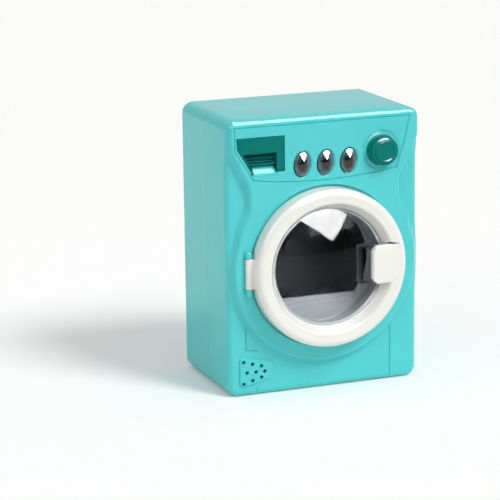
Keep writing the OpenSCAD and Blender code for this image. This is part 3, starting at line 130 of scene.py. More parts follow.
# The panel
BUTTON_Z = BODY_H - 0.66 * PANEL_H
BUTTON_PITCH = 19.6
BUTTON_XS = {"left": -BUTTON_PITCH, "middle": 0.0, "right": BUTTON_PITCH}
LENS_HALF_W = 6.7
LENS_HALF_H = 9.7
LENS_GAP = 0.55
LENS_RIM_W = 1.05
WIRE_R = 0.32
COIL_TURNS = 6
TURN_STEPS = 24
OVAL_LEAN = math.radians(10)
DIAL = (47.5, BODY_H - 0.555 * PANEL_H)
DIAL_STEM_R = 3.5
DRAWER_RIGHT = drawer_high.x
DRAWER_LOW = drawer_low.z
DRAWER_TOP = drawer_high.z
DRAWER_LEFT = drawer_low.x
DRAWER_LOW_W = 27.0
PULL_BAR = 6.2
PULL_EDGE = 1.2
PULL_H = 15.0
GRILLE = (-BODY_HALF + 23.0, 19.5)
OVERCUT = 2.0


def linear(code):
    """Turns a six-digit colour code into linear red, green, blue and alpha."""
    parts = [int(code[i:i + 2], 16) / 255 for i in (0, 2, 4)]
    return [c / 12.92 if c <= 0.04045 else ((c + 0.055) / 1.055) ** 2.4 for c in parts] + [1.0]


# Camera, at the photograph's viewing angle
YAW = math.radians(21.07)
PITCH = math.radians(13.28)
ROLL = -0.013
FOCAL_PIXELS = 2255.63
FRAME_PIXELS = 500
SENSOR = 36.0
DOOR_IN_VIEW = Vector((60.27, -12.12, 1779.0))


def add_camera():
    """Stands the camera so that the middle of the door lies at DOOR_IN_VIEW in its own axes."""
    level = Vector((math.cos(YAW), -math.sin(YAW), 0))
    ahead = Vector((math.sin(YAW), math.cos(YAW), 0))
    forward = ahead * math.cos(PITCH) - Vector((0, 0, math.sin(PITCH)))
    upright = ahead * math.sin(PITCH) + Vector((0, 0, math.cos(PITCH)))
    right = level * math.cos(ROLL) + upright * math.sin(ROLL)
    up = upright * math.cos(ROLL) - level * math.sin(ROLL)
    place = Vector((0, PLATE_Y, DOOR_Z))
    place -= right * DOOR_IN_VIEW.x + up * DOOR_IN_VIEW.y + forward * DOOR_IN_VIEW.z
    turn = Matrix((right, up, -forward)).transposed().to_4x4()
    lens = bpy.data.cameras.new("photograph_view")
    lens.sensor_width = SENSOR
    lens.lens = SENSOR * FOCAL_PIXELS / FRAME_PIXELS
    lens.clip_start, lens.clip_end = 0.05, 20
    camera = bpy.data.objects.new("photograph_view", lens)
    camera.matrix_world = Matrix.Translation(place * MM) @ turn
    bpy.context.scene.collection.objects.link(camera)
    bpy.context.scene.camera = camera


# Mesh helpers

def make_object(name, points, faces):
    """Makes an object from points in millimetres."""
    mesh = bpy.data.meshes.new(name)
    mesh.from_pydata([tuple(c * MM for c in p) for p in points], [], faces)
    mesh.update()
    obj = bpy.data.objects.new(name, mesh)
    bpy.context.scene.collection.objects.link(obj)
    return outward(obj)


def outward(obj):
    """Turns all faces of a closed mesh outwards."""
    work = bmesh.new()
    work.from_mesh(obj.data)
    bmesh.ops.recalc_face_normals(work, faces=work.faces)
    work.to_mesh(obj.data)
    work.free()
    return obj


def bake(obj):
    """Replaces an object's mesh by the result of its modifiers."""
    graph = bpy.context.evaluated_depsgraph_get()
    mesh = bpy.data.meshes.new_from_object(obj.evaluated_get(graph))
    obj.modifiers.clear()
    old = obj.data
    obj.data = mesh
    bpy.data.meshes.remove(old)
    return obj


def combine(obj, tools, operation):
    """Joins, cuts or intersects an object with closed tools, which are then deleted."""
    for tool in tools:
        change = obj.modifiers.new("shape", "BOOLEAN")
        change.operation = operation
        change.solver = "MANIFOLD"
        change.object = tool
    bpy.context.view_layer.update()
    bake(obj)
    for tool in tools:
        bpy.data.objects.remove(tool)
    return obj


def cut(obj, *tools):
    return combine(obj, tools, "DIFFERENCE")


def join(obj, *tools):
    return combine(obj, tools, "UNION")


def bevel(obj, width, segments=3, sharper_than=30):
    """Rounds the edges that are sharper than an angle."""
    work = bmesh.new()
    work.from_mesh(obj.data)
    limit = math.radians(sharper_than)
    edges = [e for e in work.edges if len(e.link_faces) == 2 and e.calc_face_angle(0) > limit]
    bmesh.ops.bevel(work, geom=edges, offset=width * MM, segments=segments, profile=0.5, affect="EDGES",
        clamp_overlap=True)
    work.to_mesh(obj.data)
    work.free()
    return obj


def arc(middle, radius, start, end, steps):
    """Points on an arc of a profile, angles in degrees."""
    turns = np.radians(np.linspace(start, end, steps + 1))
    return [(middle[0] + radius * math.cos(a), middle[1] + radius * math.sin(a)) for a in turns]


def set_back(depth, points):
    """Profile points whose second number is measured from a depth."""
    return [(radius, depth + y) for radius, y in points]


def lathe(name, profile, at=DOOR, steps=192):
    """Turns a closed profile of (radius, depth) points round an axis along Y."""
    points, rings = [], []
    turns = [(math.cos(a), math.sin(a)) for a in (2 * math.pi * i / steps for i in range(steps))]
    for radius, depth in profile:
        if radius < 1e-6:
            rings.append([len(points)] * steps)
            points.append((at[0], depth, at[1]))
        else:
            rings.append(list(range(len(points), len(points) + steps)))
            points += [(at[0] + radius * c, depth, at[1] + radius * s) for c, s in turns]
    faces = []
    for ring, after in zip(rings, rings[1:] + rings[:1]):
        for i in range(steps):
            j = (i + 1) % steps
            corners = dict.fromkeys([ring[i], ring[j], after[j], after[i]])
            if len(corners) > 2:
                faces.append(list(corners))
    return make_object(name, points, faces)


def closed_faces(count):
    """Faces of a body between two like outlines with a number of points each."""
    sides = [[i, (i + 1) % count, count + (i + 1) % count, count + i] for i in range(count)]
    return [list(range(count)), list(range(count, 2 * count)), *sides]


def prism(name, outline, front, back):
    """Extrudes an outline of (x, z) points from one depth to another."""
    points = [(x, y, z) for y in (front, back) for x, z in outline]
    return make_object(name, points, closed_faces(len(outline)))


def bar(name, profile, left, right):
    """Runs a profile of (y, z) points from left to right."""
    points = [(x, y, z) for x in (left, right) for y, z in profile]
    return make_object(name, points, closed_faces(len(profile)))


def grid_faces(across, along):
    """Faces of a grid of points, and the numbers of the points round its rim."""
    grid = np.arange(across * along).reshape(across, along)
    quads = np.stack([grid[:-1, :-1], grid[1:, :-1], grid[1:, 1:], grid[:-1, 1:]], -1).reshape(-1, 4)
    rim = np.concatenate([grid[:-1, 0], grid[-1, :-1], grid[:0:-1, -1], grid[0, :0:-1]])
    return quads, rim


def box(name, low, high):
    """A block between two corners."""
    outline = [(low[0], low[2]), (high[0], low[2]), (high[0], high[2]), (low[0], high[2])]
    return prism(name, outline, low[1], high[1])


def oval(width, height, at, steps=96):
    """Upright oval that leans to the right by OVAL_LEAN."""
    outline = []
    lean_cos, lean_sin = math.cos(OVAL_LEAN), math.sin(OVAL_LEAN)
    for i in range(steps):
        a = 2 * math.pi * i / steps
        x, z = width / 2 * math.cos(a), height / 2 * math.sin(a)
        outline.append((at[0] + (x * lean_cos + z * lean_sin), at[1] + (z * lean_cos - x * lean_sin)))
    return outline


def rounded(outline, radius, steps=5):
    """Replaces each corner of an outline by a round one."""
    result = []
    for k, corner in enumerate(outline):
        p = Vector(corner)
        before = Vector(outline[k - 1]) - p
        after = Vector(outline[(k + 1) % len(outline)]) - p
        reach = min(radius, before.length / 2.2, after.length / 2.2)
        a, b = p + before.normalized() * reach, p + after.normalized() * reach
        for i in range(steps + 1):
            t = i / steps
            q = a * (1 - t) ** 2 + p * 2 * t * (1 - t) + b * t ** 2
            result.append((q.x, q.y))
    return result


def rod(name, radius, front, back, at, edge=0.0, steps=48):
    """A rod along Y with broken edges."""
    if edge:
        profile = [(0, front), (radius - edge, front), (radius, front + edge), (radius, back - edge),
            (radius - edge, back), (0, back)]
    else:
        profile = [(0, front), (radius, front), (radius, back), (0, back)]
    return lathe(name, profile, at, steps)


def upright_rod(name, radius, low, high, steps=48, edge=0.3):
    """A rod along Z on the hinge's axis."""
    obj = rod(name, radius, low, high, (0, 0), edge, steps)
    for v in obj.data.vertices:
        x, y, z = v.co
        v.co = (HINGE[0] * MM + x, HINGE[1] * MM - z, y)
    return outward(obj)


def groove(name, start, end, width, front, depth):
    """A cutter for a straight seam line with a pointed foot."""
    a, b = Vector(start), Vector(end)
    along = (b - a).normalized()
    across = Vector((-along.y, along.x)) * width / 2
    a, b = a - along * width / 2, b + along * width / 2
    points = []
    for end_point in (a, b):
        for side, y in ((1, -1), (1, depth * 0.4), (0, depth), (-1, depth * 0.4), (-1, -1)):
            p = end_point + across * side
            points.append((p.x, front + y, p.y))
    return make_object(name, points, closed_faces(5))


def dress(obj, body, material_slot, *stands_for, sharp=32):
    """Shades a piece, gives it its finish and fixes it to its body."""
    obj.data.shade_smooth()
    obj.data.set_sharp_from_angle(angle=math.radians(sharp))
    obj.data.materials.clear()
    obj.data.materials.append(finishes[material_slot])
    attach(obj, body)
    if stands_for:
        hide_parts(*stands_for)
    return obj


# Shared shader groups

def group_with(name, inputs, outputs):
    """An empty node group with named sockets, and its input and output nodes."""
    tree = bpy.data.node_groups.new(name, "ShaderNodeTree")
    for label, kind, value in inputs:
        socket = tree.interface.new_socket(label, in_out="INPUT", socket_type="NodeSocket" + kind)
        socket.default_value = value
    for label, kind in outputs:
        tree.interface.new_socket(label, in_out="OUTPUT", socket_type="NodeSocket" + kind)
    return tree, tree.nodes.new("NodeGroupInput"), tree.nodes.new("NodeGroupOutput")


def feed(tree, sockets, values):
    """Gives each socket its plain value, or links it to a node's output."""
    for socket, value in zip(sockets, values):
        if isinstance(value, (int, float, list, tuple)):
            socket.default_value = value
        else:
            tree.links.new(value, socket)


def math_node(tree, operation, first, second=0.0):
    node = tree.nodes.new("ShaderNodeMath")
    node.operation = operation
    feed(tree, node.inputs, (first, second))
    return node.outputs[0]


def coordinates(tree, kind="Object"):
    """The three numbers of the shaded point's place."""
    place, parts = tree.nodes.new("ShaderNodeTexCoord"), tree.nodes.new("ShaderNodeSeparateXYZ")
    tree.links.new(place.outputs[kind], parts.inputs[0])
    return parts.outputs


def noise(tree, scale, detail=2.0, stretch=(1, 1, 1), roughness=0.5):
    """Noise over the object, scale per metre."""
    place = tree.nodes.new("ShaderNodeTexCoord")
    mapping = tree.nodes.new("ShaderNodeMapping")
    mapping.inputs["Scale"].default_value = stretch
    pattern = tree.nodes.new("ShaderNodeTexNoise")
    feed(tree, (pattern.inputs["Scale"], pattern.inputs["Detail"]), (scale, detail))
    pattern.inputs["Roughness"].default_value = roughness
    tree.links.new(place.outputs["Object"], mapping.inputs["Vector"])
    tree.links.new(mapping.outputs["Vector"], pattern.inputs["Vector"])
    return pattern.outputs["Fac"]


def spread(tree, value, low, high, to_low, to_high):
    """Maps a range of values to another one, and keeps within it."""
    node = tree.nodes.new("ShaderNodeMapRange")
    feed(tree, node.inputs, (value, low, high, to_low, to_high))
    return node.outputs[0]


def blend_numbers(tree, amount, first, second):
    """First where amount is 0, second where it is 1."""
    gap = math_node(tree, "SUBTRACT", second, first)
    return math_node(tree, "ADD", math_node(tree, "MULTIPLY", gap, amount), first)


def blend_colours(tree, amount, first, second, mode="MIX"):
    node = tree.nodes.new("ShaderNodeMix")
    node.data_type = "RGBA"
    node.blend_type = mode
    feed(tree, (node.inputs[0], node.inputs[6], node.inputs[7]), (amount, first, second))
    return node.outputs[2]


def moulded_surface_group():
    """Moulded plastic: slow colour drift, fine grain, rubbed patches and hair-thin scratches."""
    tree, given, result = group_with("moulded surface",
        [("Colour", "Color", (0.5, 0.5, 0.5, 1)), ("Drift", "Float", 0.06), ("Grain Scale", "Float", 1400.0),
            ("Roughness Low", "Float", 0.2), ("Roughness High", "Float", 0.3)],
        [("Colour", "Color"), ("Roughness", "Float"), ("Height", "Float")])
    drift = spread(tree, noise(tree, 22, 3), 0.3, 0.7, -0.5, 0.5)
    drift = math_node(tree, "MULTIPLY", drift, given.outputs["Drift"])
    brightness = math_node(tree, "ADD", drift, 1.0)
    tint = tree.nodes.new("ShaderNodeCombineColor")
    feed(tree, tint.inputs, [brightness] * 3)
    colour = blend_colours(tree, 1.0, given.outputs["Colour"], tint.outputs[0], "MULTIPLY")
    grain = noise(tree, given.outputs["Grain Scale"], 1.0)
    rubbed = spread(tree, noise(tree, 55, 5, roughness=0.6), 0.35, 0.7, 0.0, 1.0)
    scratch = spread(tree, noise(tree, 900, 1.0, (1, 1, 0.05)), 0.70, 0.76, 0.0, 1.0)
    rubbed = math_node(tree, "MULTIPLY", rubbed, 0.8)
    mix = math_node(tree, "ADD", rubbed, math_node(tree, "MULTIPLY", scratch, 0.35))
    rough = spread(tree, mix, 0.0, 1.0, given.outputs["Roughness Low"], given.outputs["Roughness High"])
    height = math_node(tree, "SUBTRACT", grain, math_node(tree, "MULTIPLY", scratch, 0.5))
    feed(tree, result.inputs, (colour, rough, height))
    return tree


def brushed_metal_group():
    """Plated or turned metal: fine brush lines, and darker tarnish in patches."""
    tree, given, result = group_with("brushed metal",
        [("Colour", "Color", (0.7, 0.7, 0.7, 1)), ("Line Scale", "Float", 900.0), ("Tarnish", "Float", 0.25)],
        [("Colour", "Color"), ("Roughness", "Float"), ("Height", "Float")])
    lines = noise(tree, given.outputs["Line Scale"], 2.0, (1, 0.04, 1))
    patches = spread(tree, noise(tree, 160, 4), 0.4, 0.75, 0.0, 1.0)
    dull = math_node(tree, "MULTIPLY", patches, given.outputs["Tarnish"])
    colour = blend_colours(tree, dull, given.outputs["Colour"], (0.12, 0.1, 0.08, 1))
    rough = spread(tree, lines, 0.3, 0.7, 0.22, 0.38)
    rough = math_node(tree, "ADD", rough, math_node(tree, "MULTIPLY", dull, 0.4))
    feed(tree, result.inputs, (colour, rough, lines))
    return tree


def handling_marks_group():
    """Smooth surfaces: patches rubbed duller by hands."""
    tree, given, result = group_with("handling marks",
        [("Patch Scale", "Float", 120.0), ("Patch Detail", "Float", 3.0), ("Roughness Low", "Float", 0.2),
            ("Roughness High", "Float", 0.4)],
        [("Roughness", "Float")])
    patches = noise(tree, given.outputs["Patch Scale"], given.outputs["Patch Detail"])
    rough = spread(tree, patches, 0.3, 0.7, given.outputs["Roughness Low"], given.outputs["Roughness High"])
    feed(tree, result.inputs, [rough])
    return tree


MOULDED = moulded_surface_group()
METAL = brushed_metal_group()
MARKS = handling_marks_group()


def new_material(name):
    material = bpy.data.materials.new(name)
    material.use_nodes = True
    return material, material.node_tree, material.node_tree.nodes["Principled BSDF"]


def coat(tree, shader, colour, rough, height, strength, distance):
    """Gives a shader its colour, its roughness and a fine relief."""
    feed(tree, (shader.inputs["Base Color"], shader.inputs["Roughness"]), (colour, rough))
    bump = tree.nodes.new("ShaderNodeBump")
    bump.inputs["Strength"].default_value = strength
    bump.inputs["Distance"].default_value = distance * MM
    tree.links.new(height, bump.inputs["Height"])
    tree.links.new(bump.outputs["Normal"], shader.inputs["Normal"])


def surfaced(name, group, values, strength, distance):
    """A material with its colour, roughness and relief from a shared group."""
    material, tree, shader = new_material(name)
    surface = tree.nodes.new("ShaderNodeGroup")
    surface.node_tree = group
    for label, value in values.items():
        surface.inputs[label].default_value = value
    coat(tree, shader, *surface.outputs[:3], strength, distance)
    return material, shader


def marked(tree, *values):
    """Roughness with handling marks: their scale and detail, then the lowest and highest roughness."""
    marks = tree.nodes.new("ShaderNodeGroup")
    marks.node_tree = MARKS
    feed(tree, marks.inputs, values)
    return marks.outputs[0]


def plastic(name, code, rough=(0.18, 0.3), drift=0.06, grain=1400, depth=0.05, shine=0.5):
    """Moulded plastic in one colour."""
    values = {"Colour": linear(code), "Drift": drift, "Grain Scale": grain, "Roughness Low": rough[0],
        "Roughness High": rough[1]}
    material, shader = surfaced(name, MOULDED, values, 0.25, depth)
    shader.inputs["Specular IOR Level"].default_value = shine
    return material


def metal(name, code, tarnish=0.25, lines=900):
    """Brushed or turned metal."""
    values = {"Colour": linear(code), "Line Scale": lines, "Tarnish": tarnish}
    material, shader = surfaced(name, METAL, values, 0.2, 0.03)
    shader.inputs["Metallic"].default_value = 1.0
    return material


def clear_plastic(name, code, see_through=1.0, refraction=1.49, rough=(0.01, 0.06)):
    """Glass-like plastic, tinted, with faint handling marks."""
    values = {"Colour": linear(code), "Drift": 0.04, "Grain Scale": 60, "Roughness Low": rough[0],
        "Roughness High": rough[1]}
    material, shader = surfaced(name, MOULDED, values, 0.08, 0.1)
    shader.inputs["Transmission Weight"].default_value = see_through
    shader.inputs["IOR"].default_value = refraction
    return material


def smoked_lens():
    """Smoked lens caps with a painted reflection: near black in the middle and grey-green towards the rim."""
    material, tree, shader = new_material("smoked lens plastic with painted reflection")
    place = coordinates(tree)
    # All three caps share one painted reflection pattern, which repeats with their pitch
    dark_left, dark_low = 0.9, 0.8
    shifted = math_node(tree, "ADD", place["X"], dark_left * MM)
    wide = math_node(tree, "PINGPONG", shifted, BUTTON_PITCH / 2 * MM)
    tall = math_node(tree, "SUBTRACT", place["Z"], (BUTTON_Z - dark_low) * MM)
    sides = ((wide, LENS_HALF_W * MM), (tall, LENS_HALF_H * MM))
    squares = [math_node(tree, "POWER", math_node(tree, "DIVIDE", way, half), 2) for way, half in sides]
    away = math_node(tree, "SQRT", math_node(tree, "ADD", *squares))
    ragged = math_node(tree, "ADD", away, spread(tree, noise(tree, 420, 3), 0.3, 0.7, -0.12, 0.12))
    # Painted reflection: near black in the middle, grey-green towards the rim, with a ragged edge between
    # them
    colour = blend_colours(tree, spread(tree, ragged, 0.42, 0.86, 0, 1), linear("0B0E10"), linear("4B6A70"))
    coat(tree, shader, colour, marked(tree, 120, 4, 0.03, 0.09), noise(tree, 260, 2), 0.15, 0.05)
    shader.inputs["IOR"].default_value = 1.7
    return material


def printed_board():
    """Green board with copper tracks under the solder mask."""
    material, tree, shader = new_material("printed board")
    place = tree.nodes.new("ShaderNodeTexCoord")
    tracks = tree.nodes.new("ShaderNodeTexBrick")
    tracks.inputs["Scale"].default_value = 160
    tracks.inputs["Mortar Size"].default_value = 0.035
    turned = tree.nodes.new("ShaderNodeMapping")
    turned.inputs["Rotation"].default_value = (math.radians(90), 0, 0)
    tree.links.new(place.outputs["Object"], turned.inputs["Vector"])
    tree.links.new(turned.outputs["Vector"], tracks.inputs["Vector"])
    mask = spread(tree, noise(tree, 300, 2), 0.45, 0.55, 0.0, 1.0)
    lines = math_node(tree, "MULTIPLY", tracks.outputs["Fac"], mask)
    colour = blend_colours(tree, lines, linear("12683A"), linear("3F9A55"))
    coat(tree, shader, colour, marked(tree, 90, 3, 0.25, 0.45), lines, 0.4, 0.05)
    return material


def cell_sleeve():
    """Battery sleeve: dark with a copper band at one end, and a bright cap."""
    material, tree, shader = new_material("battery sleeve")
    cell_low, cell_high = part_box("batteries")
    reach = spread(tree, coordinates(tree)["X"], cell_low.x, cell_high.x, 0.0, 1.0)
    band = math_node(tree, "GREATER_THAN", reach, 0.72)
    colour = blend_colours(tree, band, linear("1C1C1F"), linear("B8793A"))
    from_middle = math_node(tree, "ABSOLUTE", math_node(tree, "SUBTRACT", reach, 0.5))
    cap = math_node(tree, "GREATER_THAN", from_middle, 0.485)
    colour = blend_colours(tree, cap, colour, linear("C9C9C4"))
    coat(tree, shader, colour, marked(tree, 120, 3, 0.22, 0.4), noise(tree, 700, 2), 0.1, 0.04)
    return material


finishes = {
    "aqua_shell": plastic("aqua plastic", "4ECDCF", (0.1, 0.17), 0.05),
    "white_plastic": plastic("white plastic", "ECEBE6", (0.14, 0.22), 0.03),
    # Painted shade: the white plastic of the ring under the window, made grey as if shaded by the window
    "back_ring": plastic("white plastic painted grey as shade", "8B8E90", (0.3, 0.4), 0.03),
    "dark_teal": plastic("dark teal plastic", "00746F", (0.1, 0.17), 0.08, shine=0.1),
    "grey_plastic": plastic("grey plastic", "8A8A8D", (0.3, 0.45), 0.08),
    "dark_plastic": plastic("dark plastic", "0A1019", (0.35, 0.55), 0.15, 900, 0.08),
    "black_plastic": plastic("black plastic", "101013", (0.4, 0.55), 0.12, 1100),
    "gear_plastic": plastic("gear plastic", "E4E2DA", (0.35, 0.5), 0.04, 1100),
    "paper_cone": plastic("speaker paper", "3D3B3A", (0.75, 0.9), 0.25, 500, 0.2),
    "steel": metal("plated steel", "C3C5C8"),
    "brass": metal("turned brass", "D6B25E", 0.35),
    "motor_can": metal("drawn steel can", "A9ABAF", 0.4, 500),
    "clear_window": clear_plastic("clear window plastic", "DCDFE1", refraction=1.19),
    "smoked_lens": smoked_lens(),
    "led_lens": clear_plastic("lamp lens plastic", "FFB168", 0.7, 1.5, (0.08, 0.16)),
    "board": printed_board(),
    "battery_wrap": cell_sleeve(),
}


# The moulded front

def distance_to(outline, x, z):
    """Signed distance to a closed outline, negative inside."""
    nearest = np.full(x.shape, 1e9)
    inside = np.zeros(x.shape, bool)
    for k in range(len(outline)):
        (ax, az), (bx, bz) = outline[k - 1], outline[k]
        dx, dz = bx - ax, bz - az
        t = np.clip(((x - ax) * dx + (z - az) * dz) / (dx * dx + dz * dz), 0, 1)
        nearest = np.minimum(nearest, np.hypot(x - ax - t * dx, z - az - t * dz))
        if az != bz:
            crosses = ((az > z) != (bz > z)) & (x < dx * (z - az) / dz + ax)
            inside ^= crosses
    return np.where(inside, -nearest, nearest)


def smooth_low(a, b, reach):
    """The lower of two fields, with a soft change from one to the other."""
    share = np.clip(0.5 + 0.5 * (b - a) / reach, 0, 1)
    return b * (1 - share) + a * share - reach * share * (1 - share)


def rolled(inset, radius):
    """How far a rounded edge falls back at a distance in from its outline."""
    reach = np.clip(radius - inset, 0, radius)
    return radius - np.sqrt(radius * radius - reach * reach)


def relief_outline():
    """The raised front's outline without its round collar."""
    touch = math.hypot(WAIST_HALF, WAIST_LOW - DOOR_Z)
    turn = math.atan2(WAIST_LOW - DOOR_Z, WAIST_HALF) - math.acos(min(1, COLLAR_R / touch))
    flare = (COLLAR_R * math.cos(turn), DOOR_Z + COLLAR_R * math.sin(turn))
    right = [(PANEL_HALF, BODY_H - 3), (PANEL_HALF, PANEL_LOW), (WAIST_HALF, WAIST_TOP),
        (WAIST_HALF, WAIST_LOW), flare, (30, DOOR_Z)]
    return right + [(-x, z) for x, z in reversed(right)]


def edged_lines(low, high, edge, count):
    """Places from low to high, close together where both ends are rounded."""
    near = edge * (1 - np.cos(np.radians(np.linspace(0, 90, 7))))
    middle = np.linspace(low + edge, high - edge, count)[1:-1]
    return np.concatenate([low + near, middle, high - near[::-1]])


def front_depth(x, z, inset):
    """Depth of the moulded front at points of the front view."""
    collar = np.hypot(x, z - DOOR_Z) - COLLAR_R
    plate = distance_to(rounded(relief_outline(), 5, 6), x, z)
    away = smooth_low(plate, collar, COLLAR_BLEND)
    rise = np.clip((BEVEL_W + 0.2 - away) / (BEVEL_W + 1.0), 0, 1)
    rise = rise * rise * (3 - 2 * rise)
    raised = LOW_Y - RELIEF_H * rise + rolled(inset, RELIEF_EDGE_R)
    raised += np.where(away > BEVEL_W, (away - BEVEL_W) * 0.4, 0)
    low = LOW_Y + rolled(inset, EDGE_R)
    # Smoothing cuts in at the foot of the slope, and the last term fills that again
    foot = 0.8
    return smooth_low(raised, low, foot) + foot / 4 * np.clip(1 - abs(raised - low) / foot, 0, 1) ** 2


def shell_lines(half, step):
    """Grid lines across a shell, close together where its edges are rounded."""
    edge = [EDGE_R * (1 - math.cos(math.radians(a))) for a in np.linspace(0, 90, 10)]
    edge += [EDGE_R + (CORNER_R - EDGE_R) * t for t in np.linspace(0, 1, 7)[1:]]
    edge = np.array(edge)
    flat = half - CORNER_R
    middle = np.linspace(-flat, flat, 2 * round(flat / step) + 1)
    return np.concatenate([-half + edge[:-1], middle, (half - edge[:-1])[::-1]])


def shell(name, half, height, depth_at, far, wall, step=0.8):
    """A moulded half shell: a front face given by depth_at, sides that run to far, and a wall."""
    us, ws = shell_lines(half, step), shell_lines(height / 2, step)
    u, w = np.meshgrid(us, ws, indexing="ij")
    # The square grid is drawn in to round corners
    a, b = np.maximum(abs(u) - (half - CORNER_R), 0), np.maximum(abs(w) - (height / 2 - CORNER_R), 0)
    reach = np.maximum(a, b)
    length = np.maximum(np.hypot(a, b), 1e-9)
    x = np.sign(u) * (abs(u) - a + a * reach / length)
    z = np.sign(w) * (abs(w) - b + b * reach / length) + height / 2
    inset = np.minimum(half - abs(u), height / 2 - abs(w))
    y = depth_at(x, z, inset)
    way = 1 if far > y.mean() else -1
    outer = np.stack([x, y, z], -1).reshape(-1, 3)
    scale_x, scale_z = (half - wall) / half, (height / 2 - wall) / (height / 2)
    z = (z - height / 2) * scale_z + height / 2
    inner = np.stack([x * scale_x, y + way * wall, z], -1).reshape(-1, 3)
    quads, rim = grid_faces(*u.shape)
    count, n = u.size, len(rim)
    # The free edge is chamfered, which draws the line where the two halves meet
    side, edge, inside = outer[rim].copy(), outer[rim].copy(), inner[rim].copy()
    side[:, 1] = far - way * RIM_CHAMFER
    edge[:, 0] *= (half - RIM_CHAMFER) / half
    edge[:, 2] = (edge[:, 2] - height / 2) * (height / 2 - RIM_CHAMFER) / (height / 2) + height / 2
    edge[:, 1] = inside[:, 1] = far
    points = np.concatenate([outer, inner, side, edge, inside])
    faces = [list(q) for q in quads] + [list(q[::-1] + count) for q in quads]
    runs = [rim, *(2 * count + k * n + np.arange(n) for k in range(3)), rim + count]
    for before, after in zip(runs, runs[1:]):
        faces += [[before[i - 1], before[i], after[i], after[i - 1]] for i in range(n)]
    return make_object(name, points.tolist(), faces)


def fan_holes():
    """Nine speaker holes that close in to the right."""
    return [(GRILLE[0] - 10.6 + 7.5 * i + (0 if j else 2.8), GRILLE[1] + j * (8.9 - 2.15 * i))
        for i in range(3) for j in (-1, 0, 1)]


def seam_lines():
    """Start, end and depth of each seam line of the front."""
    seam_low = BODY_H - 0.83 * PANEL_H
    left, top = -PANEL_HALF + 2.6, BODY_H - 5.6
    sag = [(-0.7, 2.2), (-0.35, 3.8), (0, 4.3), (0.3, 3.6), (0.65, 1.8)]
    panel = [(left, top), (left, PANEL_LOW), (-WAIST_HALF + 2.5, seam_low)]
    panel += [(WAIST_HALF * share, seam_low - drop) for share, drop in sag]
    panel += [(WAIST_HALF - 2.5, seam_low + 1), (PANEL_HALF - 10.6, PANEL_LOW), (PANEL_HALF - 6.6, top),
        (left, top)]
    lines = [(a, b, PLATE_Y) for a, b in zip(panel, panel[1:])]
    # Below the collar: one line at the right, and one at the left that jogs out above the grille
    outside, above = KICK_X + KICK_JOG, GRILLE[1] + 18
    feet = [DOOR_Z - math.sqrt((COLLAR_R + BEVEL_W) ** 2 - x ** 2) for x in (KICK_X, outside)]
    below = [((KICK_X, 1), (KICK_X, feet[0])), ((-KICK_X, 1), (-KICK_X, GRILLE[1] - 13.5)),
        ((-outside, above), (-KICK_X, above - 1)), ((-outside, above), (-outside, feet[1]))]
    return lines + [(a, b, LOW_Y) for a, b in below]


def drawer_outline(grow=0.0):
    """The drawer front's outline, grown all round."""
    right, shoulder, lean = DRAWER_RIGHT, 9.0, 0.7
    outline = [(right, DRAWER_LOW), (right - DRAWER_LOW_W, DRAWER_LOW),
        (DRAWER_LEFT + lean, DRAWER_TOP - shoulder), (DRAWER_LEFT, DRAWER_TOP), (right, DRAWER_TOP)]
    mid_x, mid_z = (DRAWER_LEFT + right) / 2, (DRAWER_LOW + DRAWER_TOP) / 2
    return [(x + math.copysign(grow, x - mid_x), z + math.copysign(grow, z - mid_z)) for x, z in outline]


def grille_boss():
    """The raised patch that the speaker holes go through."""
    corners = [(-14, -12.4), (15, -6.5), (15, 7.5), (-14, 13.6)]
    outline = rounded([(GRILLE[0] + x, GRILLE[1] + z) for x, z in corners], 5, 8)
    boss = prism("boss", outline, LOW_Y - 1.5, LOW_Y + WALL / 2)
    return bevel(boss, 1.35, 5, 60)


def front_cutters():
    """Closed tools for every hole, recess and seam of the front."""
    over = PLATE_Y - OVERCUT
    tools = [rod("hole", DOOR_HOLE_R, over, MOUTH_Y + OVERCUT, DOOR, steps=192)]
    recess_r, recess_t = RING_R + RING_ROOM, 1.7
    recess = [(0, -OVERCUT), (recess_r + 0.9, -OVERCUT), (recess_r + 0.9, 0), (recess_r + 0.35, 0.12),
        (recess_r + 0.05, 0.5), (recess_r, recess_t), (0, recess_t)]
    tools.append(lathe("recess", set_back(PLATE_Y, recess)))
    room = KNUCKLE_HALF + KNUCKLE_GAP
    tools.append(upright_rod("knuckle_room", KNUCKLE_R + 0.35, DOOR_Z - room, DOOR_Z + room, edge=0))
    latch_low, latch_high = box_mm("door_latch")
    through, latch_room = PLATE_Y + 5, 1.6
    tools.append(box("latch_slot", (latch_low.x - 1, over, latch_low.z - latch_room),
        (latch_high.x + latch_room, through, latch_high.z + latch_room)))
    tools.append(rod("dial_hole", DIAL_STEM_R + 0.1, over, through, DIAL))
    dish = [(0, -OVERCUT), (16.9, -OVERCUT), (16.9, -0.05), (16.4, 0.06), (15.6, 0.34), (14.8, 0.62),
        (14, 0.78), (13, 0.8), (0, 0.8)]
    tools.append(lathe("dish", set_back(PLATE_Y, dish), DIAL, 128))
    hole_w, hole_h = 2 * (LENS_HALF_W + LENS_GAP), 2 * (LENS_HALF_H + LENS_GAP)
    for x in BUTTON_XS.values():
        at = (x, BUTTON_Z)
        tools.append(prism("button_hole", oval(hole_w, hole_h, at), over, through))
        # A slanted rim leads into each hole
        sunk = oval(hole_w + 2 * LENS_RIM_W, hole_h + 2 * LENS_RIM_W, at)
        rim = prism("button_rim", sunk, PLATE_Y - 0.02, PLATE_Y + 0.8)
        for v in rim.data.vertices:
            if v.co.y > PLATE_Y * MM:
                v.co.x = x * MM + (v.co.x - x * MM) * 0.885
                v.co.z = BUTTON_Z * MM + (v.co.z - BUTTON_Z * MM) * 0.9
        tools.append(rim)
    tools.append(prism("drawer_hole", rounded(drawer_outline(0.4), 0.8, 3), over, PLATE_Y + 8))
    tools.append(sill_scoop())
    tools += [rod("fan_hole", FAN_HOLE_R, LOW_Y - 4, LOW_Y + 8, at, steps=32) for at in fan_holes()]
    tools += [groove("seam", a, b, SEAM_W, depth, SEAM_T) for a, b, depth in seam_lines()]
    return tools


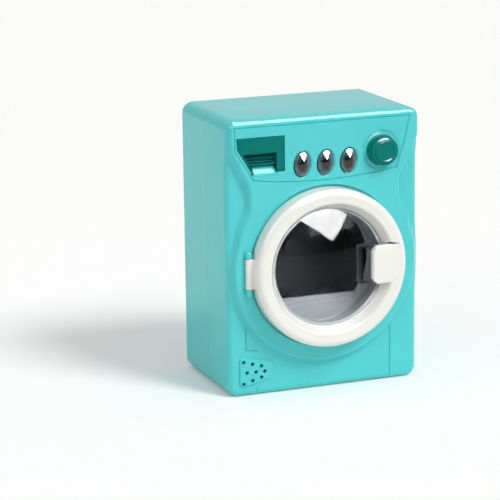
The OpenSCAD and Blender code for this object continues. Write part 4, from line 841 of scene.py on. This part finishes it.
def hinge_ear(way):
    """One of the two ears that hold the hinge pin."""
    low, high = sorted(DOOR_Z + way * (KNUCKLE_HALF + KNUCKLE_GAP + up) for up in (0, EAR_H))
    ear = upright_rod("ear", KNUCKLE_R, low, high, edge=0.5)
    foot = box("foot", (HINGE[0] - KNUCKLE_R + 0.05, HINGE[1], low + 0.1),
        (HINGE[0] + KNUCKLE_R - 0.05, PLATE_Y + 1.6, high - 0.1))
    return join(ear, bevel(foot, 0.4, 2))


def drawer_sill():
    """The scooped sill under the drawer's pull, in the casing's colour."""
    right = DRAWER_RIGHT - PULL_BAR - 0.5
    left = DRAWER_RIGHT - DRAWER_LOW_W + PULL_EDGE + 0.5
    slope = [(0.3, -3.6), (0.55, -3.0), (1.0, -2.1), (1.7, -0.9), (2.6, 0.5), (3.7, 1.9), (4.9, 3.1),
        (6.0, 4.0), (7.0, 4.6)]
    under = [(7.0, -4.6), (WALL - 0.2, -4.6), (0.9, -4.2)]
    return bar("sill", [(PLATE_Y + y, DRAWER_LOW + z) for y, z in slope + under], left, right)


def sill_scoop():
    """Cutter that lets the sill run down past the drawer's lower edge."""
    right, left = DRAWER_RIGHT - PULL_BAR + 0.5, DRAWER_RIGHT - DRAWER_LOW_W - 1.2
    outline = [(right, DRAWER_LOW + 1), (left, DRAWER_LOW + 1), (left + 0.8, DRAWER_LOW - 4.0),
        (right - 1.6, DRAWER_LOW - 4.0)]
    scoop = prism("scoop", rounded(outline, 1.6, 5), PLATE_Y - 2, PLATE_Y + WALL + 1)
    for v in scoop.data.vertices:
        if v.co.y > PLATE_Y * MM:
            v.co.z = max(v.co.z, (DRAWER_LOW - 1.2) * MM)
    return scoop


def front_shell():
    """Front half of the casing."""
    body = shell("front_shell", BODY_HALF, BODY_H, front_depth, SPLIT_Y, WALL)
    join(body, grille_boss(), rod("neck", DOOR_HOLE_R + 2, PLATE_Y + 1.2, MOUTH_Y, DOOR, steps=192),
        rod("dial_boss", 6, PLATE_Y + 1.2, PLATE_Y + 7, DIAL))
    cut(body, *front_cutters())
    join(body, hinge_ear(1), hinge_ear(-1), drawer_sill())
    return dress(body, "body", "aqua_shell", "front_casing")


# The door

def ring_face():
    """Outer profile of the door ring: rolled rim, shallow valley, inner crest and the window's seat."""
    rim = arc((RING_R - 5, RING_Y + 5), 5, 0, -90, 14)
    valley = [(57.2, 0.1), (56.0, 0.32), (54.8, 0.42), (53.8, 0.36)]
    lip = [(52.9, 0.42), (52.2, 0.9), (51.6, 1.7), (51.2, 2.7)]
    seat = [(47.7, -0.9), (WINDOW_R, -0.5), (WINDOW_R, 0), (REBATE_R, 0)]
    return [(RING_R - 0.3, RING_BACK), (RING_R, RING_BACK - 0.3), *rim, *set_back(RING_Y, valley + lip),
        *set_back(SEAT_Y, seat)]


def ring_inside():
    """Inner profile of the door ring, which leaves it hollow."""
    foot, out = RING_BACK - 2.8, RING_R - 2.4
    hollow = [(53.8, 3.8), (54.6, 2.6), (RING_R - 5, 2.4), (RING_R - 3.2, 4.4), (out, 6.4)]
    return [(REBATE_R, foot), (53.1, foot), (53.1, SEAT_Y - 1.2), *set_back(RING_Y, hollow), (out, RING_BACK)]


def door_ring():
    """White ring with its hinge knuckle."""
    ring = lathe("door_ring_rolled", ring_face() + ring_inside())
    knuckle = upright_rod("knuckle", KNUCKLE_R, DOOR_Z - KNUCKLE_HALF, DOOR_Z + KNUCKLE_HALF)
    web = box("web", (HINGE[0], HINGE[1] - KNUCKLE_R + 0.05, DOOR_Z - KNUCKLE_HALF + 0.1),
        (HINGE[0] + 5.2, HINGE[1] + KNUCKLE_R - 0.2, DOOR_Z + KNUCKLE_HALF - 0.1))
    join(ring, join(knuckle, bevel(web, 0.3, 2)))
    over_grip = (handle_high.z - handle_low.z) / 2 + DOOR_Z
    wedge = [(48, over_grip - 0.3), (57.6, over_grip + 0.25), (48, over_grip + 2.0)]
    reach = KNUCKLE_HALF + OVERCUT
    cut(ring, upright_rod("pin_bore", PIN_BORE_R, DOOR_Z - reach, DOOR_Z + reach, edge=0),
        prism("grip_notch", wedge, RING_Y - 1, RING_Y + 7))
    return dress(ring, "door", "white_plastic", "door_ring")


def dome_arc(inset, steps=40):
    """Half profile of the dome's outer or inner face, from the rim to the middle."""
    radius, edge = DOME_R - inset, DOME_BASE - inset
    reach = math.degrees(math.asin(edge / radius))
    middle_y = RING_Y + DOME_R
    return [(radius * math.sin(math.radians(a)), middle_y - radius * math.cos(math.radians(a)))
        for a in np.linspace(reach, 0, steps)]


def door_window():
    """Domed window with its flange and the finger pocket."""
    outer, inner = dome_arc(0), dome_arc(WINDOW_T)
    flange = [(DOME_BASE - WINDOW_T, WINDOW_T), (FLANGE_R, WINDOW_T), (FLANGE_R, 0.02), (DOME_BASE, 0.02)]
    window = lathe("door_window_dome", [*inner[::-1], *set_back(SEAT_Y, flange), *outer], steps=160)
    # The pocket runs from beside the handle's free end to well inside the window's rim
    x0, x1 = handle_low.x - 6.5, WINDOW_R - 7.5
    half = (handle_high.z - handle_low.z) / 2 - 2
    floor_y = RING_Y + 11.5
    body = lathe("dome_body", [(0, floor_y + WINDOW_T), (DOME_BASE, floor_y + WINDOW_T), *outer], steps=160)
    wall = box("pocket_wall", (x0 - WINDOW_T, RING_Y - 1, DOOR_Z - half - WINDOW_T),
        (x1 + WINDOW_T, floor_y + WINDOW_T, DOOR_Z + half + WINDOW_T))
    combine(wall, [body], "INTERSECT")
    join(window, wall)
    pocket = box("pocket", (x0, RING_Y - 5, DOOR_Z - half), (x1, floor_y, DOOR_Z + half))
    cut(window, bevel(pocket, 1.2, 4))
    return dress(window, "door", "clear_window", "door_window", sharp=40)


def door_handle():
    """White grip: proud at its free end, level with the ring where it meets it."""
    x0, x1, half = handle_low.x, handle_high.x, (handle_high.z - handle_low.z) / 2
    back, slope, edge = handle_low.y + 4.6, 4.5, 1.4
    xs, ws = edged_lines(x0, x1, edge, 22), edged_lines(-half, half, edge, 14) / half
    x, w = np.meshgrid(xs, ws, indexing="ij")
    corner = slope * np.clip(1 - (x - x0) / slope, 0, 1) ** 1.6
    z = w * (half - corner)
    flat_end, level_x = x0 + 3, 52
    level = np.clip((x - flat_end) / (level_x - flat_end), 0, 1)
    level = level * level * (3 - 2 * level)
    inset = np.minimum(np.minimum(x - x0, x1 - x), (1 - abs(w)) * (half - corner))
    # The rounded edge is tight at the free end and fades into the ring at the other
    wide = edge + 6 * level
    y = handle_low.y + (RING_Y - 0.35 - handle_low.y) * level + rolled(inset / wide, 1) * edge
    count = x.size
    front = np.stack([x, y, z + DOOR_Z], -1).reshape(-1, 3).tolist()
    quads, rim = (part.tolist() for part in grid_faces(*x.shape))
    foot = [(front[i][0], back, front[i][2]) for i in rim]
    sides = [[rim[k - 1], rim[k], count + k, count + (k - 1) % len(rim)] for k in range(len(rim))]
    grip = make_object("door_grip", front + foot, [*quads, *sides, list(range(count, count + len(rim)))])
    cut(grip, lathe("ring_trim", ring_face() + [(REBATE_R, RING_BACK)]))
    return dress(grip, "door", "white_plastic", "door_handle")


# The panel

def button(name, x):
    """Smoked lens cap: a dome with its crown set low, a rounded shoulder and a flange behind the panel."""
    low, high = box_mm("button_" + name)
    front, flange_back = low.y, high.y
    at = (x, BUTTON_Z)
    wide, tall = 2 * LENS_HALF_W, 2 * LENS_HALF_H
    crown, low_set, wall, steps = 2.1, 2.4, 1.2, 72
    rings = [(share, crown * share ** 2) for share in np.linspace(0, 0.96, 13)] + [(0.985, 2.12), (1.0, 2.4)]
    points = [(x, front, BUTTON_Z - low_set)]
    for share, fall in rings[1:]:
        middle = (x, BUTTON_Z - low_set + low_set * share)
        points += [(px, front + fall, pz) for px, pz in oval(wide * share, tall * share, middle, steps)]
    points += [(px, flange_back - 1, pz) for px, pz in oval(wide, tall, at, steps)]
    rim = 3.2
    for y in (flange_back - 1, flange_back):
        points += [(px, y, pz) for px, pz in oval(wide + rim, tall + rim, at, steps)]
    count = len(points) // steps
    faces = [[0, 1 + i, 1 + (i + 1) % steps] for i in range(steps)]
    for k in range(count - 1):
        ring = [1 + k * steps + i for i in range(steps)]
        faces += [[a, b, b + steps, a + steps] for a, b in zip(ring, ring[1:] + ring[:1])]
    faces.append([1 + (count - 1) * steps + i for i in range(steps)])
    cap = make_object("lens_" + name, points, faces)
    inside = oval(wide - 2 * wall, tall - 2 * wall, at, 48)
    hollow = prism("hollow", inside, front + 3.0, flange_back - 1)
    cut(cap, bevel(hollow, 0.8, 3, 60), rod("lamp_hole", 3.2, flange_back - 2, flange_back + 1, at))
    return dress(cap, name + "_button", "smoked_lens", "button_" + name, sharp=40)


def button_spring(name, x):
    """Coil spring between a button and the board."""
    low, high = box_mm("spring_" + name)
    coil_r = (high.x - low.x) / 2 - WIRE_R
    start, end = low.y + WIRE_R + 0.02, high.y - WIRE_R
    sides, steps = 8, COIL_TURNS * TURN_STEPS
    # The first and last turn lie nearly flat
    flat = 0.9
    points = []
    for i in range(steps + 1):
        turn = i / TURN_STEPS
        climb = min(max(turn - flat, 0), COIL_TURNS - 2 * flat) / (COIL_TURNS - 2 * flat)
        settle = 2 * WIRE_R * (min(turn, flat) / flat + max(turn - COIL_TURNS + flat, 0) / flat)
        y = start + settle + climb * (end - start - 4 * WIRE_R)
        a = 2 * math.pi * turn
        for k in range(sides):
            b = 2 * math.pi * k / sides
            out = coil_r + WIRE_R * math.cos(b)
            points.append((x + out * math.cos(a), y + WIRE_R * math.sin(b), BUTTON_Z + out * math.sin(a)))
    faces = [list(range(sides)), [steps * sides + k for k in range(sides)]]
    for i in range(steps):
        ring = [i * sides + k for k in range(sides)]
        faces += [[a, b, b + sides, a + sides] for a, b in zip(ring, ring[1:] + ring[:1])]
    coil = make_object("coil_" + name, points, faces)
    dress(coil, "body", "steel", "spring_" + name)
    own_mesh(coil)


def dial():
    """Dark teal dial: a broad skirt, a stepped barrel, a fluted edge and a dished face."""
    low, high = box_mm("dial_knob")
    front = low.y
    skirt = PLATE_Y + 0.45
    face = [(0, 0.5), (6.6, 0.5), (7.1, 0.38), (7.45, 0.1), (7.75, 0), (8.1, 0.06), (8.5, 0.3), (8.85, 0.75),
        (9.05, 1.3), (9.3, 1.55), (10.3, 1.75), (10.9, 2.0), (11.3, 2.5), (11.5, 3.2)]
    foot = [(11.5, -1.9), (11.7, -1.4), (12.3, -1.0), (12.5, -0.7), (12.5, 0), (DIAL_STEM_R, 0)]
    profile = [*set_back(front, face), *set_back(skirt, foot), (DIAL_STEM_R, high.y), (0, high.y)]
    knob = lathe("dial_turned", profile, DIAL, 144)
    flutes, flute_depth = 24, 0.18
    for v in knob.data.vertices:
        x, z = v.co.x / MM - DIAL[0], v.co.z / MM - DIAL[1]
        radius = math.hypot(x, z)
        if radius > 11.2 and front + 3 < v.co.y / MM < skirt - 1.6:
            flute = flute_depth * max(0.0, math.cos(flutes * math.atan2(z, x)))
            v.co.x -= x / radius * flute * MM
            v.co.z -= z / radius * flute * MM
    cut(knob, rod("screw_bore", 1.35, high.y - 7, high.y + 1, DIAL))
    return dress(knob, "dial", "dark_teal", "dial_knob")


def drawer_face():
    """Drawer front: a flat plate with a framed groove, a pull opening and a ledged pocket behind."""
    front = PLATE_Y + 0.2
    plate = prism("drawer_face", rounded(drawer_outline(), 0.7, 3), front, front + 2.4)
    bevel(plate, 0.3, 2, 60)
    tray_low = box_mm("drawer_tray")[0]
    corner, shoulder = drawer_outline()[1:3]
    lean = (shoulder[0] - corner[0]) / (shoulder[1] - corner[1])
    right, top, shelf = DRAWER_RIGHT - PULL_BAR, DRAWER_LOW + PULL_H, tray_low.z
    pocket_back = min(tray_low.y, LOW_Y + WALL - 0.2)

    def left(z, inset):
        """The slanted edge's place at a height, some way in from it."""
        return corner[0] + lean * (z - DRAWER_LOW) + inset

    wall, under = 1.2, DRAWER_LOW - OVERCUT
    upper = [(left(top, PULL_EDGE + 1), top), (right, top)]
    opening = [(right, under), (left(under, PULL_EDGE), under), *upper]
    outside = [(right + wall, shelf), (left(shelf, 0.4), shelf), (left(top + wall, 1.2), top + wall),
        (right + wall, top + wall)]
    room = [(right, shelf + wall), (left(shelf + wall, PULL_EDGE + 0.2), shelf + wall), *upper]
    pocket = prism("pocket_body", outside, front + wall, pocket_back)
    cut(pocket, bevel(prism("pocket_room", room, PLATE_Y - 1, pocket_back - wall), 0.7, 3))
    join(plate, pocket)
    cut(plate, prism("pull", rounded(opening, 0.6, 3), PLATE_Y - 1, front + 2.5))
    # Two curved ledges to hook a finger on
    for height, proud, half in ((PULL_H - 3.6, 3.6, 1.1), (PULL_H - 7.2, 2.4, 0.9)):
        z = DRAWER_LOW + height
        turns = np.linspace(-math.pi / 2, math.pi / 2, 9)
        ledge = [(pocket_back - 1 - proud * math.cos(a), z + half * math.sin(a)) for a in turns]
        ledge += [(pocket_back - 0.4, z + half), (pocket_back - 0.4, z - half)]
        join(plate, bar("ledge", ledge, left(z, PULL_EDGE), right + 0.6))
    # A groove that follows the slanted edge
    inner = drawer_outline(-2.2)
    cut(plate, *(groove("frame_groove", inner[k], inner[k + 1], 0.6, front, 0.5) for k in (1, 2)))
    return dress(plate, "drawer", "dark_teal", "drawer_front")


def finish_solids():
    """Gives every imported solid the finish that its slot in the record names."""
    slots = {part["node"]: part["material_slot"] for part in frame["record"]["subparts"]}
    for name, obj in nodes.items():
        obj.data.materials.clear()
        # The door's back ring gets the white plastic painted grey as shade instead of its slot's white
        obj.data.materials.append(finishes["back_ring" if name == "door_back_ring" else slots[name]])


# Studio

def add_floor():
    """Plain pale floor that keeps the object's shadow."""
    size = 6000
    corners = [(-size, -size, 0), (size, -size, 0), (size, size, 0), (-size, size, 0)]
    floor = make_object("studio_floor", corners, [[0, 1, 2, 3]])
    material, tree, shader = new_material("studio paper")
    shader.inputs["Base Color"].default_value = linear("F4F4F3")
    shader.inputs["Roughness"].default_value = 0.9
    shader.inputs["Specular IOR Level"].default_value = 0.1
    # What the camera sees of the paper is a little lighter, with its shadows kept
    glow = 0.09
    kinds = ("LightPath", "Emission", "AddShader")
    path, light, both = (tree.nodes.new("ShaderNode" + kind) for kind in kinds)
    tree.links.new(math_node(tree, "MULTIPLY", path.outputs["Is Camera Ray"], glow), light.inputs["Strength"])
    feed(tree, both.inputs, (shader.outputs[0], light.outputs[0]))
    tree.links.new(both.outputs[0], tree.nodes["Material Output"].inputs["Surface"])
    floor.data.materials.append(material)


def add_world():
    """Soft light all round, with a white background for camera, gloss and glass."""
    world = bpy.data.worlds.new("studio")
    bpy.context.scene.world = world
    world.use_nodes = True
    tree = world.node_tree
    tree.nodes.clear()
    soft, white = tree.nodes.new("ShaderNodeBackground"), tree.nodes.new("ShaderNodeBackground")
    for background in (soft, white):
        background.inputs["Color"].default_value = (1, 1, 1, 1)
    soft.inputs["Strength"].default_value = 0.52
    path = tree.nodes.new("ShaderNodeLightPath")
    # The studio is dark in front of the toy, which keeps the reflections in the window deep
    reflected = spread(tree, coordinates(tree, "Generated")["Y"], -0.9, -0.35, 0.1, 0.65)
    brightness = blend_numbers(tree, path.outputs["Is Glossy Ray"], 1.0, reflected)
    tree.links.new(brightness, white.inputs["Strength"])
    seen = math_node(tree, "MAXIMUM", path.outputs["Is Camera Ray"], path.outputs["Is Glossy Ray"])
    seen = math_node(tree, "MAXIMUM", seen, path.outputs["Is Transmission Ray"])
    mix, out = tree.nodes.new("ShaderNodeMixShader"), tree.nodes.new("ShaderNodeOutputWorld")
    feed(tree, mix.inputs, (seen, soft.outputs[0], white.outputs[0]))
    tree.links.new(mix.outputs[0], out.inputs[0])


def aim_lamp(data, heading, elevation, away, roll=0):
    """Aims a lamp at the door; heading 0 is straight in front, positive to the right."""
    lamp = bpy.data.objects.new(data.name, data)
    a, e = math.radians(heading), math.radians(elevation)
    back = Vector((math.sin(a) * math.cos(e), -math.cos(a) * math.cos(e), math.sin(e)))
    lamp.location = (Vector((0, PLATE_Y, DOOR_Z)) + back * away) * MM
    lamp.rotation_mode = "QUATERNION"
    lamp.rotation_quaternion = (-back).to_track_quat("-Z", "Y") @ Quaternion((0, 0, 1), math.radians(roll))
    lamp.visible_camera = False
    bpy.context.scene.collection.objects.link(lamp)
    return lamp


def add_soft_light(name, heading, elevation, strength, softness):
    """An even soft light that colours the whole floor alike."""
    data = bpy.data.lights.new(name, "SUN")
    data.energy, data.angle = strength, math.radians(softness)
    aim_lamp(data, heading, elevation, 2000).visible_glossy = False


def add_gloss_panel(name, heading, elevation, away, width, height, watts, roll=0, only_for=()):
    """A studio panel that only shows as a reflection in glossy faces, or only in some pieces."""
    data = bpy.data.lights.new(name, "AREA")
    data.shape = "RECTANGLE"
    data.size, data.size_y = width * MM, height * MM
    data.energy = watts
    lamp = aim_lamp(data, heading, elevation, away, roll)
    lamp.visible_diffuse = False
    if only_for:
        lit = bpy.data.collections.new(name + "_pieces")
        for piece in only_for:
            lit.objects.link(piece)
        lamp.light_linking.receiver_collection = lit


add_camera()
finish_solids()
front_shell()
pieces = [door_ring(), door_handle(), drawer_face()]
shiny = [door_window(), dial(), *[button(side, centre) for side, centre in BUTTON_XS.items()]]
for side, centre in BUTTON_XS.items():
    button_spring(side, centre)
add_floor()
add_world()
add_soft_light("front_light", 32, 46, 1.8, 20)
add_soft_light("left_light", -62, 34, 0.25, 50)
add_gloss_panel("window_panel", 16, 29.5, 1250, 900, 560, 150, roll=-41, only_for=shiny)
add_gloss_panel("front_panel", 24, 30, 1250, 900, 700, 12, only_for=shiny + pieces)
add_gloss_panel("overhead_panel", 60, 80, 1300, 1500, 1300, 52)
add_gloss_panel("left_panel", -80, 42, 1300, 800, 800, 6)
bpy.context.scene.view_settings.view_transform = "Standard"
